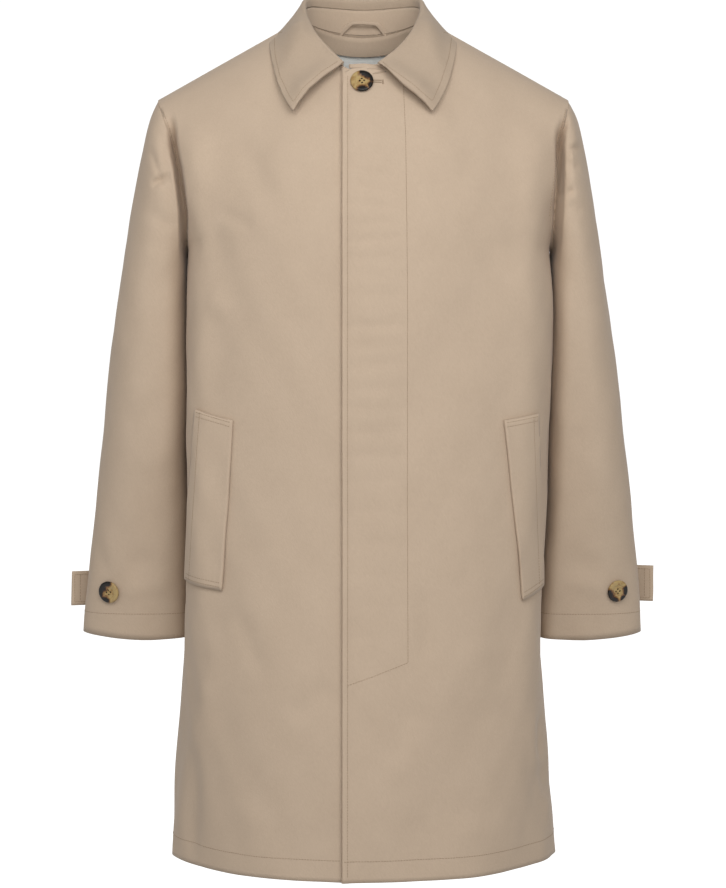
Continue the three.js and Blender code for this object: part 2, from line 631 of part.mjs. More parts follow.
const stand = {
  name: 'collar_stand', group: 'stand', wall: COLLAR_WALL - 0.2, look: COAT_CLOTH,
  rows: [0, 0.5, 1].map((share) => neckLine.map((neck, i) => neck.clone().lerp(standTop(i), share))),
  flip: true, seams: { bottom: NECK_SEAM_GAP, top: HALF_SEAM_GAP },
};
panels.push(stand);
finishPanels(panels);

// Surfaces that other pieces lie on
function trianglesOf(panel) {
  const { rows, normals, closed } = panel;
  const count = rows[0].length;
  const triangles = [];
  for (let r = 0; r < rows.length - 1; r++) {
    for (let c = 0; c < (closed ? count : count - 1); c++) {
      const next = (c + 1) % count;
      const corners = [[r, c], [r, next], [r + 1, next], [r + 1, c]];
      for (const [i, j, k] of [[0, 1, 2], [0, 2, 3]]) {
        const at = [corners[i], corners[j], corners[k]];
        triangles.push({
          face: new THREE.Triangle(...at.map(([row, column]) => rows[row][column])),
          normals: at.map(([row, column]) => normals[row][column]),
        });
      }
    }
  }
  return triangles;
}

function nearest(triangles, point) {
  let best = Infinity;
  let found = null;
  const foot = new THREE.Vector3();
  for (const triangle of triangles) {
    triangle.face.closestPointToPoint(point, foot);
    const distance = foot.distanceToSquared(point);
    if (distance < best) {
      best = distance;
      found = { triangle, foot: foot.clone() };
    }
  }
  const shares = found.triangle.face.getBarycoord(found.foot, new THREE.Vector3());
  const normal = new THREE.Vector3();
  found.triangle.normals.forEach((corner, i) => normal.addScaledVector(corner, shares.getComponent(i)));
  return { foot: found.foot, normal: normal.normalize(), distance: Math.sqrt(best) };
}

function laidOn(triangles, point, lift) {
  const { foot, normal } = nearest(triangles, point);
  return foot.addScaledVector(normal, lift);
}

const bodySurface = [frontRight, frontLeft, back].flatMap(trianglesOf);
const standSurface = trianglesOf(stand);

// Collar leaf
function leafProfile(place) {
  const { side, forward, roll, edge } = rollAndEdge(place);
  const before = rollAndEdge(Math.max(0, place - 0.5)).roll;
  const after = rollAndEdge(Math.min(stationCount - 1, place + 0.5)).roll;
  const along = after.clone().sub(before).normalize();
  const rise = roll.clone().sub(straightAt(neckLine, place));
  rise.addScaledVector(along, -rise.dot(along)).normalize();
  const outward = rise.clone().cross(along);
  const radius = mix(ROLL_RADIUS_BACK, ROLL_RADIUS_FRONT, forward);
  const points = [];
  const seam = straightAt(stand.inner[2], place);
  const upAlong = seam.clone().sub(straightAt(stand.inner[1], place)).normalize();
  points.push(seam.addScaledVector(upAlong, 2 * HALF_SEAM_GAP));
  for (const turn of [180, 135, 90, 45, 0]) {
    const angle = THREE.MathUtils.degToRad(turn);
    points.push(roll.clone()
      .addScaledVector(outward, radius * Math.cos(angle))
      .addScaledVector(rise, radius * (Math.sin(angle) - 1)));
  }
  const start = points[points.length - 1];
  const fall = edge.distanceTo(start);
  const leaving = rise.clone().multiplyScalar(mix(-0.9, -0.4, forward))
    .addScaledVector(outward, mix(0.45, 0.9, forward)).normalize();
  const arriving = edge.clone().sub(start).normalize();
  const overShoulder = Math.exp(-(((forward - LEAF_SHOULDER_PLACE) / 0.17) ** 2));
  leaving.lerp(arriving, LEAF_SHOULDER_STRAIGHTNESS * overShoulder).normalize();
  const endDroop = forward === 1 ? COLLAR_ENDS[side].droop : 0;
  for (let i = 1; i <= LEAF_ROWS; i++) {
    const t = i / LEAF_ROWS;
    const t2 = t * t;
    const t3 = t2 * t;
    const point = new THREE.Vector3()
      .addScaledVector(start, 2 * t3 - 3 * t2 + 1)
      .addScaledVector(leaving, (t3 - 2 * t2 + t) * fall)
      .addScaledVector(edge, 3 * t2 - 2 * t3)
      .addScaledVector(arriving, (t3 - t2) * fall);
    point.z -= endDroop * Math.sin(Math.PI * t);
    for (const surface of [standSurface, bodySurface]) {
      const on = nearest(surface, point);
      const height = point.clone().sub(on.foot).dot(on.normal);
      if (height < LEAF_CLEARANCE) point.addScaledVector(on.normal, LEAF_CLEARANCE - height);
    }
    points.push(point);
  }
  return points;
}

const leafColumns = [];
for (let place = 0; place < stationCount - 0.9; place += 1 / LEAF_COLUMNS_PER_STATION) {
  leafColumns.push(leafProfile(place));
}
const leaf = {
  name: 'collar_leaf', group: 'leaf', wall: COLLAR_WALL, look: COAT_CLOTH,
  rows: leafColumns[0].map((point, r) => leafColumns.map((column) => column[r])),
  flip: false, seams: {},
};
finishPanels([leaf]);

// Strips inside the back neck, made from the back's own points
function insideBack(name, fromRow, toRow, seams, look) {
  const first = backMiddle - NECK_SEGMENTS_BACK;
  const last = backMiddle + NECK_SEGMENTS_BACK;
  const outer = [];
  const inner = [];
  for (let row = fromRow; row <= toRow; row++) {
    outer.push([]);
    inner.push([]);
    for (let column = first; column <= last; column++) {
      const into = back.inner[row][column].clone().sub(back.rows[row][column]).normalize();
      const face = back.inner[row][column].clone().addScaledVector(into, 0.5);
      outer[outer.length - 1].push(face);
      inner[inner.length - 1].push(face.clone().addScaledVector(into, LINING_WALL));
    }
  }
  const strip = { rows: outer, inner, seams };
  insetSeams(strip, outer.map((row) => row.map(() => 1)));
  return wallMesh(name, strip.rows, strip.inner, false, false, look);
}

// Hanging loop
function loopMesh() {
  const outer = [];
  const inner = [];
  LOOP_LINE.forEach((point, i) => {
    const before = LOOP_LINE[Math.max(0, i - 1)];
    const after = LOOP_LINE[Math.min(LOOP_LINE.length - 1, i + 1)];
    const along = new THREE.Vector2(after.x - before.x, after.z - before.z).normalize();
    const standFace = NECK_BACK_Y - 86 * (1 - Math.sqrt(1 - (point.x / NECK_HALF_WIDTH) ** 2));
    const away = 4.8 + 1.5 * Math.sin((Math.PI * i) / (LOOP_LINE.length - 1));
    outer.push([]);
    inner.push([]);
    for (const across of [-LOOP_WIDTH / 2, 0, LOOP_WIDTH / 2]) {
      const face = new THREE.Vector3(point.x - along.y * across, standFace - away - LOOP_WALL, point.z + along.x * across);
      outer[i].push(face);
      inner[i].push(face.clone().add(new THREE.Vector3(0, LOOP_WALL, 0)));
    }
  });
  return wallMesh('hanger_loop', outer, inner, false, true, COAT_CLOTH);
}

// Pocket welts
function weltMesh(side) {
  const welt = WELTS[side];
  const surface = trianglesOf(side === 'left' ? frontLeft : frontRight);
  const corner = ([x, z]) => ({ turn: turnFor(side, x, z), z });
  const [topInner, topOuter] = [corner(welt.topInner), corner(welt.topOuter)];
  const [lowInner, lowOuter] = [corner(welt.lowInner), corner(welt.lowOuter)];
  const outer = [];
  const inner = [];
  for (let row = 0; row <= 9; row++) {
    outer.push([]);
    inner.push([]);
    for (let column = 0; column <= 5; column++) {
      const up = row / 9;
      const out = column / 5;
      const turn = mix(mix(lowInner.turn, lowOuter.turn, out), mix(topInner.turn, topOuter.turn, out), up);
      const z = mix(mix(lowInner.z, lowOuter.z, out), mix(topInner.z, topOuter.z, out), up);
      const point = sectionPoint(side, 'front', turn, z);
      inner[row].push(laidOn(surface, point, LAID_ON_GAP));
      outer[row].push(laidOn(surface, point, LAID_ON_GAP + WELT_WALL));
    }
  }
  return wallMesh(`pocket_welt_${side}`, outer, inner, false, side === 'right', COAT_CLOTH);
}

// Sleeve tabs, sewn down at the back of the sleeve and loose past its outer edge
function tabMesh(side) {
  const { sign } = SIDES[side];
  const surface = trianglesOf(side === 'left' ? sleeveLeft : sleeveRight);
  const outer = [];
  const inner = [];
  for (let row = 0; row <= 3; row++) {
    const z = TAB_TOP_Z - TAB_WIDTH * (1 - row / 3);
    outer.push([]);
    inner.push([]);
    for (let column = 0; column <= 4; column++) {
      const x = mix(TAB_ROOT_X, TAB_LEAVES_X, column / 4);
      const point = new THREE.Vector3(sign * x, 120, z);
      inner[row].push(laidOn(surface, point, LAID_ON_GAP));
      outer[row].push(laidOn(surface, point, LAID_ON_GAP + TAB_WALL));
    }
    const slant = (1 - row / 3) * 1.5;
    for (let column = 1; column <= 4; column++) {
      const reach = ((TAB_FREE_LENGTH - slant) * column) / 4;
      const away = new THREE.Vector3(sign * 0.95, -0.312, 0);
      const backward = new THREE.Vector3(sign * 0.312, 0.95, 0);
      const last = inner[row][4].clone().addScaledVector(away, reach);
      inner[row].push(last);
      outer[row].push(last.clone().addScaledVector(backward, TAB_WALL));
    }
  }
  return wallMesh(`sleeve_tab_${side}`, outer, inner, false, side === 'left', COAT_CLOTH);
}

// Buttons
function solidOf(geometry) {
  geometry.deleteAttribute('normal');
  geometry.deleteAttribute('uv');
  const merged = mergeVertices(geometry, 1e-4);
  return new wasm.Manifold(new wasm.Mesh({
    numProp: 3,
    vertProperties: new Float32Array(merged.attributes.position.array),
    triVerts: new Uint32Array(merged.index.array),
  }));
}

// A round button with a raised rim, a dished middle and four holes, lying on its back at z = 0.
function buttonSolid() {
  const radius = BUTTON_DIAMETER / 2;
  const dish = radius - BUTTON_RIM_WIDTH;
  const outline = [
    [0, 0],
    [radius - 1.6, 0],
    [radius - 0.4, 0.8],
    [radius, 1.9],
    [radius - 0.6, 3.1],
    [radius - 1.7, BUTTON_HEIGHT],
    [dish + 0.5, BUTTON_HEIGHT - 0.3],
    [dish - 0.5, BUTTON_HEIGHT - BUTTON_DISH_DEPTH],
    [0, BUTTON_HEIGHT - BUTTON_DISH_DEPTH - 0.1],
  ].map(([r, z]) => new THREE.Vector2(r, z));
  const disc = new THREE.LatheGeometry(outline, 32);
  disc.rotateX(Math.PI / 2);
  let solid = solidOf(disc);
  for (const turn of [0, 90, 180, 270]) {
    const angle = THREE.MathUtils.degToRad(turn);
    const hole = new THREE.CylinderGeometry(BUTTON_HOLE_DIAMETER / 2, BUTTON_HOLE_DIAMETER / 2, 12, 10);
    hole.rotateX(Math.PI / 2);
    const reach = BUTTON_HOLE_SPACING / Math.SQRT2;
    hole.translate(reach * Math.cos(angle), reach * Math.sin(angle), 1);
    solid = solid.subtract(solidOf(hole));
  }
  return solid.getMesh();
}

const buttonShape = buttonSolid();

function buttonMesh(name, surface, point) {
  const { foot, normal } = nearest(surface, point);
  const mesh = meshFromTriangles(name, [...buttonShape.vertProperties], [...buttonShape.triVerts], TORTOISE);
  mesh.quaternion.setFromUnitVectors(new THREE.Vector3(0, 0, 1), normal);
  mesh.position.copy(foot.addScaledVector(normal, BUTTON_LIFT));
  return mesh;
}

const coat = new THREE.Group();
for (const panel of [...panels, leaf]) coat.add(panelMesh(panel));
coat.add(insideBack('neck_facing', topRow - 1, topRow, { top: 1.4, bottom: HALF_SEAM_GAP }, COAT_CLOTH));
coat.add(insideBack('back_lining', topRow - 4, topRow - 1, { top: HALF_SEAM_GAP }, PALE_LINING));
coat.add(loopMesh());
for (const side of ['left', 'right']) {
  const { sign } = SIDES[side];
  coat.add(weltMesh(side));
  coat.add(tabMesh(side));
  const sleeve = trianglesOf(side === 'left' ? sleeveLeft : sleeveRight);
  coat.add(buttonMesh(`button_cuff_${side}`, sleeve, new THREE.Vector3(sign * CUFF_BUTTON.x, -20, CUFF_BUTTON.z)));
}
coat.add(buttonMesh('button_neck', trianglesOf(frontLeft), new THREE.Vector3(NECK_BUTTON.x, -110, NECK_BUTTON.z)));

export default coat;
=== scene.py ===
import math

import bmesh
import bpy
import numpy as np
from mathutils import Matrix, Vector
from mathutils.bvhtree import BVHTree


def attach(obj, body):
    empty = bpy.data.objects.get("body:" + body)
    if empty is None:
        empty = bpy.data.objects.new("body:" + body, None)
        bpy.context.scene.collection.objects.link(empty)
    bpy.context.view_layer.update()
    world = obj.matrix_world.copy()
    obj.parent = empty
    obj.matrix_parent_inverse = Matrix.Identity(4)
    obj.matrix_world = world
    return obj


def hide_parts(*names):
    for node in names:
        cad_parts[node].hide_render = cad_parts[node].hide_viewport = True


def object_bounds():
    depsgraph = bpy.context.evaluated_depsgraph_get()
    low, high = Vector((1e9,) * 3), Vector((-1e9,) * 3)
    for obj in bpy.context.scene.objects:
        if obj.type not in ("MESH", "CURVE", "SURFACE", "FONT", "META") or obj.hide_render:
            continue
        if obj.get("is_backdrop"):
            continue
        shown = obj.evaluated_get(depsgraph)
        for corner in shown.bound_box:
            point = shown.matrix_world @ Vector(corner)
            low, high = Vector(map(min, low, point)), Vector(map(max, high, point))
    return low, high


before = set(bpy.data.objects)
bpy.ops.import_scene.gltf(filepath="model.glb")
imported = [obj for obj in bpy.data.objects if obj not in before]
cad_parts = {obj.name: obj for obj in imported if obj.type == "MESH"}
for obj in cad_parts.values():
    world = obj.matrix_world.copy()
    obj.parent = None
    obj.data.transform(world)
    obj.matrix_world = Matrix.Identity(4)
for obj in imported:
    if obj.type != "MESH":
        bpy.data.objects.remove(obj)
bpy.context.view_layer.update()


# View. The coat is seen from straight in front, from the height of its chest
# and three metres away, with the whole of it upright in the frame.
EYE = Vector((0.0, -3.0, -0.320))
LOOKED_AT = Vector((0.0, 0.0, -0.4946))
LENS_MM = 103.0

view_data = bpy.data.cameras.new("front_view")
view_data.lens = LENS_MM
view_data.sensor_width = 36.0
view_data.clip_end = 60.0
front_view = bpy.data.objects.new("front_view", view_data)
front_view.location = EYE
front_view.rotation_mode = "QUATERNION"
front_view.rotation_quaternion = (LOOKED_AT - EYE).to_track_quat("-Z", "Y")
bpy.context.collection.objects.link(front_view)
bpy.context.scene.camera = front_view


# Back. One plain piece of cotton gabardine from side seam to side seam, cut
# wide and straight, pressed flat and let hang from the shoulders.
WELD = 0.00002
RIM_TURN = math.radians(60)
MM = 0.001


def linear(colour):
    """An sRGB hex colour as linear numbers."""
    parts = [int(colour[i:i + 2], 16) / 255 for i in (0, 2, 4)]
    return [p / 12.92 if p <= 0.04045 else ((p + 0.055) / 1.055) ** 2.4 for p in parts] + [1.0]


def add(tree, kind, settings=None, **links):
    """Adds a node; settings are its properties, and links are values or sockets for its inputs."""
    made = tree.nodes.new("ShaderNode" + kind)
    for name, value in (settings or {}).items():
        setattr(made, name, value)
    for name, value in links.items():
        key = int(name[1:]) if name[0] == "n" and name[1:].isdigit() else name.replace("_", " ")
        if isinstance(value, bpy.types.NodeSocket):
            tree.links.new(value, made.inputs[key])
        else:
            made.inputs[key].default_value = value
    return made


# Cotton gabardine: a tight steep twill, dry and matt, with a very slight
# sheen where the light grazes it. Its wales lie 0.6 mm apart; they are drawn
# as streaks 1.1 mm wide and 6 mm long, because finer ones would not show.
WALE_MM = 1.1
WALE_LONG_MM = 6.0
TWILL_SLOPE = math.radians(63)


def gabardine(name, colour, darker, lighter):
    """The coat's cloth: steep twill wales over faint clouds of shade."""
    cloth = bpy.data.materials.new(name)
    cloth.use_nodes = True
    tree = cloth.node_tree
    tree.nodes.clear()
    place = add(tree, "TexCoord").outputs["Object"]
    clouds = add(tree, "TexNoise", Vector=place, Scale=24.0, Detail=6.0, Roughness=0.7)
    yarn = add(tree, "TexNoise", Vector=place, Scale=620.0, Detail=2.0, Roughness=0.7)
    across, along = 1000 / WALE_MM, 1000 / WALE_LONG_MM
    slope = add(tree, "Mapping", Vector=place, Rotation=(0.0, math.pi / 2 - TWILL_SLOPE, 0.0))
    drawn_out = add(tree, "Mapping", Vector=slope.outputs[0], Scale=(across, across, along))
    wales = add(tree, "TexNoise", Vector=drawn_out.outputs[0], Scale=1.0, Detail=1.0, Roughness=0.5)
    shade = add(tree, "ValToRGB", Fac=clouds.outputs["Fac"])
    shade.color_ramp.elements[0].position = 0.30
    shade.color_ramp.elements[0].color = linear(darker)
    shade.color_ramp.elements[1].position = 0.72
    shade.color_ramp.elements[1].color = linear(lighter)
    middle = shade.color_ramp.elements.new(0.5)
    middle.color = linear(colour)
    weave = add(tree, "Math", {"operation": "ADD"}, n0=wales.outputs["Fac"], n1=yarn.outputs["Fac"])
    speck = add(tree, "MapRange", Value=weave.outputs[0], From_Min=0.3, From_Max=1.7, To_Min=0.93, To_Max=1.07)
    worked = add(tree, "VectorMath", {"operation": "SCALE"}, n0=shade.outputs["Color"], Scale=speck.outputs[0])
    grain = add(tree, "Bump", Strength=0.30, Distance=0.0004, Height=weave.outputs[0])
    surface = add(
        tree, "BsdfPrincipled", Base_Color=worked.outputs[0], Roughness=0.88, Normal=grain.outputs[0])
    surface.inputs["Specular IOR Level"].default_value = 0.22
    surface.inputs["Sheen Weight"].default_value = 0.12
    surface.inputs["Sheen Roughness"].default_value = 0.45
    add(tree, "OutputMaterial", Surface=surface.outputs[0])
    return cloth


coat_cloth = gabardine("cotton_gabardine", "B9A590", "B7A38E", "BBA792")


def quads_of(node):
    """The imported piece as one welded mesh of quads, its rims marked so that they stay crisp."""
    shell = bmesh.new()
    shell.from_mesh(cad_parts[node].data)
    bmesh.ops.remove_doubles(shell, verts=shell.verts, dist=WELD)
    bmesh.ops.join_triangles(
        shell, faces=shell.faces, angle_face_threshold=math.radians(50), angle_shape_threshold=math.radians(75))
    rim = shell.edges.layers.float.new("crease_edge")
    for edge in shell.edges:
        if len(edge.link_faces) == 2 and edge.calc_face_angle() > RIM_TURN:
            edge[rim] = 1.0
    mesh = bpy.data.meshes.new(node + "_quads")
    shell.to_mesh(mesh)
    shell.free()
    return mesh


def points_of(mesh):
    """A mesh's points as rows of x, y, z."""
    flat = np.empty(len(mesh.vertices) * 3, np.float64)
    mesh.vertices.foreach_get("co", flat)
    return flat.reshape(-1, 3)


def cloth_piece(name, node, levels, eased=None):
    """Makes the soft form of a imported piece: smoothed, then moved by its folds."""
    piece = bpy.data.objects.new(name, quads_of(node))
    bpy.context.collection.objects.link(piece)
    smoothing = piece.modifiers.new("smoothing", "SUBSURF")
    smoothing.levels = levels
    smoothing.render_levels = levels
    seen = piece.evaluated_get(bpy.context.evaluated_depsgraph_get())
    mesh = bpy.data.meshes.new_from_object(seen)
    piece.modifiers.clear()
    piece.data = mesh
    mesh.name = name
    if eased:
        points = points_of(mesh)
        mesh.vertices.foreach_set("co", (points + eased(points)).astype(np.float32).ravel())
        mesh.update()
    mesh.polygons.foreach_set("use_smooth", [True] * len(mesh.polygons))
    mesh.set_sharp_from_angle(angle=math.radians(50))
    mesh.materials.clear()
    mesh.materials.append(coat_cloth)
    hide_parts(node)
    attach(piece, "root")
    return piece


# Soft folds of the body, as seen from the front or the back: where each runs, its half-width, and how far the
# cloth stands out (or in, where it is less than 0) along it. In millimetres.
FOLD_DEPTH = 1.7
FOLD_COLUMNS = ("half", "from_x", "from_z", "to_x", "to_z", "width", "rise")
BODY_FOLDS = (
    # drag lines over the chest
    ("front", -150, -128, -92, -236, 17.0, -2.0),
    ("front", -170, -220, -118, -246, 9.0, -1.0),
    ("front", -182, -316, -150, -345, 14.0, 1.2),
    ("front", 128, -150, 70, -225, 20.0, -1.3),
    ("front", 172, -190, 150, -270, 16.0, 1.2),
    ("front", 120, -300, 150, -420, 22.0, -1.0),
    # below the welts, and towards the hem
    ("front", -146, -668, -110, -760, 12.0, -1.2),
    ("front", -30, -752, -86, -800, 13.0, -1.4),
    ("front", -196, -818, -199, -990, 10.0, -3.0),
    ("front", -170, -690, -178, -800, 15.0, 1.6),
    ("front", -120, -880, -126, -1000, 30.0, 1.8),
    ("front", -48, -900, -44, -1000, 24.0, -1.5),
    ("front", 66, -640, 74, -740, 11.0, -1.4),
    ("front", 60, -770, 30, -850, 18.0, -1.2),
    ("front", 126, -700, 150, -800, 20.0, 1.2),
    ("front", 205, -800, 206, -862, 6.0, -2.6),
    ("front", 206, -862, 219, -915, 5.5, -2.6),
    ("front", 198, -790, 200, -880, 8.0, 1.4),
    ("front", 120, -900, 128, -1000, 28.0, 1.8),
    ("front", 66, -890, 58, -1000, 20.0, -1.2),
    # the back hangs in long soft pleats from the shoulder blades
    ("back", -96, -190, -142, -760, 26.0, -2.0),
    ("back", 110, -230, 150, -700, 28.0, -2.0),
    ("back", -150, -210, -176, -420, 16.0, 2.0),
    ("back", 156, -230, 178, -460, 17.0, 1.8),
    ("back", -20, -420, -34, -700, 34.0, -1.4),
    ("back", 30, -560, 44, -900, 26.0, 1.5),
    ("back", -90, -780, -84, -1000, 30.0, 2.4),
    ("back", -40, -860, -30, -1000, 24.0, -2.2),
    ("back", 96, -800, 110, -1000, 26.0, -2.2),
    ("back", 150, -830, 160, -1000, 22.0, 2.0),
    ("back", -120, -300, -60, -350, 20.0, 1.0),
    ("back", 70, -330, 128, -300, 18.0, -1.0),
)

# Where the chest and back roll over the armhole seams, the cloth dips back between body and sleeve: the middle
# of the dip at each height. Its half-width, its depth, and the heights between which it is full.
DIP_COLUMNS = ("z", "right_x", "left_x")
DIPS = (
    (-106, -226.0, 237.5), (-122, -223.0, 232.0), (-134, -221.0, 229.0), (-146, -219.0, 227.8),
    (-174, -212.5, 227.0), (-197, -209.5, 226.5), (-220, -208.0, 226.0), (-300, -207.5, 225.0),
)
DIP_HALF_WIDTH, DIP_DEPTH = 5.0, 24.0
DIP_TOP, DIP_FULL, DIP_LOW, DIP_END = -104, -152, -262, -300

# The front and back hang full towards the sides before they turn: where, how wide and how far.
FULL_X, FULL_WIDTH = 197.0, 24.0
FULL_RISE_RIGHT, FULL_RISE_LEFT = 15.0, 9.0
FULL_TOP, FULL_FROM, FULL_TO, FULL_END = -105, -175, -760, -960

# The fly's free edge stands a little off the other front, most of all near the top. The neck edge rises in the
# middle, and the fly's upper corner is worn round.
FLY_EDGE_X, FLY_LIFT, FLY_LIFT_WIDTH, FLY_LIFT_MORE = -22.5, 3.2, 8.0, 0.5
NECK_RISE, NECK_RISE_MIDDLE, NECK_RISE_HALF = 6.2, 3.5, 16.5
CORNER_DROP, CORNER_FROM, CORNER_TO = 8.0, -11.0, -25.0

# Small puckers across the placket, where its layers shift on each other: height, slope across, and depth.
PUCKER_DEPTH = 1.2
PUCKER_COLUMNS = ("z", "slope", "rise", "reach")
PUCKERS = (
    (-160, 0.10, -0.5, 0.5), (-181, -0.14, -0.7, 0.6), (-199, -0.18, -0.8, 0.7), (-219, -0.10, -0.8, 0.8),
    (-238, 0.02, -0.6, 0.8), (-257, 0.10, -0.8, 0.9), (-278, 0.03, -0.7, 0.9), (-296, -0.08, -0.6, 0.8),
    (-318, -0.03, -0.8, 0.9), (-353, 0.06, -1.5, 1.0), (-376, -0.04, -0.8, 0.9), (-397, 0.08, -1.0, 1.0),
    (-424, 0.02, -0.9, 1.0), (-447, -0.06, -0.8, 0.9), (-472, 0.05, -0.9, 0.9), (-499, -0.02, -0.8, 0.8),
    (-528, 0.05, -0.7, 0.7), (-561, -0.05, -0.6, 0.8), (-598, 0.04, -0.7, 0.9), (-633, -0.03, -0.5, 0.8),
    (-668, 0.03, -0.6, 0.9), (-704, -0.04, -0.5, 0.8),
)


def soft_ridges(places, rows):
    """How far the cloth stands out at places seen from one side (x, z in metres), over rows of a fold table."""
    rise = np.zeros(len(places))
    for from_x, from_z, to_x, to_z, width, height in rows:
        start = np.array((from_x, from_z)) * MM
        along = np.array((to_x, to_z)) * MM - start
        t = np.clip((places - start) @ along / (along @ along), 0.0, 1.0)
        away = np.linalg.norm(places - start - t[:, None] * along, axis=1) / (width * MM)
        ends = np.clip(np.minimum(t, 1.0 - t) * 3.2, 0.0, 1.0)
        rise += height * MM * np.exp(-away ** 2) * ends * ends * (3 - 2 * ends)
    return rise


# Gabardine never hangs quite flat: slow swells, each with its length round the body and up it, its depth in
# millimetres and where it starts.
SWELL_COLUMNS = ("round_mm", "up_mm", "deep", "start")
SWELLS = (
    (310, 520, 1.1, 0.3), (-190, 410, 0.8, 1.9), (140, -260, 0.70, 4.1), (-96, 150, 0.40, 2.2),
    (71, 118, 0.28, 5.0), (-58, -83, 0.18, 0.9), (43, -61, 0.11, 3.3),
)


def around_body(points):
    """How far round the body each point lies from the middle of the front, in metres, and the way out there."""
    x, y = points[:, 0], points[:, 1]
    turn = np.arctan2(x / 0.225, -y / 0.150)
    out = np.stack([x / 0.225 ** 2, y / 0.150 ** 2, np.zeros_like(x)], 1)
    out /= np.linalg.norm(out, axis=1)[:, None] + 1e-9
    return turn * 0.235, out


def swells(across, up):
    """The slow swells of the cloth at places given in metres."""
    rise = np.zeros(len(across))
    for round_mm, up_mm, deep, start in SWELLS:
        rise += deep * MM * np.sin(2 * math.pi * (across / (round_mm * MM) + up / (up_mm * MM)) + start)
    return rise


def ramp(values, start, end):
    """Turns smoothly from 0 at start to 1 at end, both in millimetres."""
    t = np.clip((values / MM - start) / (end - start), 0.0, 1.0)
    return t * t * (3 - 2 * t)


def seam_dips(points):
    """How far the cloth dips in beside the armholes, less how full it hangs before it turns there."""
    x, z = points[:, 0], points[:, 2]
    heights = [row[0] * MM for row in reversed(DIPS)]
    dip = np.zeros(len(points))
    for column, sign in ((1, -1.0), (2, 1.0)):
        middle = np.interp(z, heights, [row[column] * MM for row in reversed(DIPS)])
        dip += np.exp(-((x - middle) / (DIP_HALF_WIDTH * MM)) ** 6)
    dip *= DIP_DEPTH * MM * ramp(z, DIP_TOP, DIP_FULL) * ramp(z, DIP_END, DIP_LOW)
    full = np.where(x < 0.0, FULL_RISE_RIGHT, FULL_RISE_LEFT) * MM
    full *= np.exp(-((np.abs(x) - FULL_X * MM) / (FULL_WIDTH * MM)) ** 2)
    return dip - full * ramp(z, FULL_TOP, FULL_FROM) * ramp(z, FULL_END, FULL_TO)


# The side seams are drawn together, so that no light comes through them.
SEAM_DRAW, SEAM_FACING = 0.17, 0.20


def body_folds(points):
    """Moves the body's points by its folds, swells and puckers."""
    across, out = around_body(points)
    seen = points[:, [0, 2]]
    facing = -out[:, 1]
    rise = swells(across, points[:, 2]) * np.clip((-points[:, 2] - 0.03) / 0.16, 0.0, 1.0)
    for half, sign in (("front", 1.0), ("back", -1.0)):
        there = np.clip(sign * facing * 3.0, 0.0, 1.0)
        rise += FOLD_DEPTH * soft_ridges(seen, [row[1:] for row in BODY_FOLDS if row[0] == half]) * there
    on_placket = np.clip((points[:, 0] + 0.030) / 0.012, 0.0, 1.0) * np.clip((0.062 - points[:, 0]) / 0.020, 0.0, 1.0)
    on_placket = on_placket * (facing > 0.5)
    for z, slope, height, reach in PUCKERS:
        line = points[:, 2] - z * MM - slope * (points[:, 0] - 0.013)
        fade = np.exp(-((points[:, 0] - 0.013) / (0.045 * reach)) ** 2)
        rise += PUCKER_DEPTH * height * MM * np.exp(-(line / 0.0050) ** 2) * on_placket * fade
    moved = out * rise[:, None]
    moved[:, 1] += seam_dips(points) * np.clip(facing * 3.0, -1.0, 1.0)
    at_neck = np.exp(-((points[:, 0] / MM - NECK_RISE_MIDDLE) / NECK_RISE_HALF) ** 2)
    at_neck *= ramp(points[:, 2], -92, -64) * (facing > 0.5)
    moved[:, 2] += NECK_RISE * MM * at_neck
    edge = np.exp(-((points[:, 0] - FLY_EDGE_X * MM) / (FLY_LIFT_WIDTH * MM)) ** 2) * (facing > 0.5)
    edge *= (points[:, 0] > (FLY_EDGE_X - 1.5) * MM) * (1.0 + FLY_LIFT_MORE * ramp(points[:, 2], -230, -120))
    moved[:, 1] -= FLY_LIFT * MM * edge
    return moved


def front_folds(points):
    """The body's folds on a front, which is drawn back to its side seam."""
    facing = -around_body(points)[1][:, 1]
    moved = body_folds(points)
    moved[:, 1] += SEAM_DRAW * MM * np.exp(-(facing / SEAM_FACING) ** 2)
    if points[:, 0].max() > FLY_EDGE_X * MM * -2:
        corner = ramp(points[:, 0], CORNER_FROM, CORNER_TO) * ramp(points[:, 2], -84, -60) * (facing > 0.5)
        moved[:, 2] -= CORNER_DROP * MM * corner
    return moved


def back_folds(points):
    """The body's folds on the back, which is drawn forward to its side seams."""
    facing = -around_body(points)[1][:, 1]
    moved = body_folds(points)
    moved[:, 1] -= SEAM_DRAW * MM * np.exp(-(facing / SEAM_FACING) ** 2)
    return moved


back = cloth_piece("back_panel", "back", 2, back_folds)


def skin_of(piece):
    """A piece's surface, for laying sewing on it."""
    mesh = piece.data
    return BVHTree.FromPolygons([v.co for v in mesh.vertices], [face.vertices[:] for face in mesh.polygons])


def laid(skin, rays, longest_gap=0.012):
    """Lays rays (start, direction) on a skin; gives runs of (point, way out), parted where the skin ends."""
    runs, last = [[]], None
    for start, toward in rays:
        hit, normal = skin.ray_cast(Vector(start), Vector(toward))[:2]
        if hit is None or (last is not None and (hit - last).length > longest_gap):
            runs.append([])
        if hit is not None:
            runs[-1].append((hit, normal if normal.dot(Vector(toward)) < 0 else -normal))
        last = hit
    return [run for run in runs if len(run) > 2]


def from_side(corners, half="front", step=1.2):
    """Rays that draw straight runs between corners (x, z in millimetres), seen from the front or the back."""
    sign = -1.0 if half == "front" else 1.0
    rays = []
    for (x0, z0), (x1, z1) in zip(corners, corners[1:]):
        count = max(1, round(math.dist((x0, z0), (x1, z1)) / step))
        for i in range(count):
            place = (x0 + (x1 - x0) * i / count, z0 + (z1 - z0) * i / count)
            rays.append(((place[0] * MM, sign * 0.5, place[1] * MM), (0.0, -sign, 0.0)))
    return rays


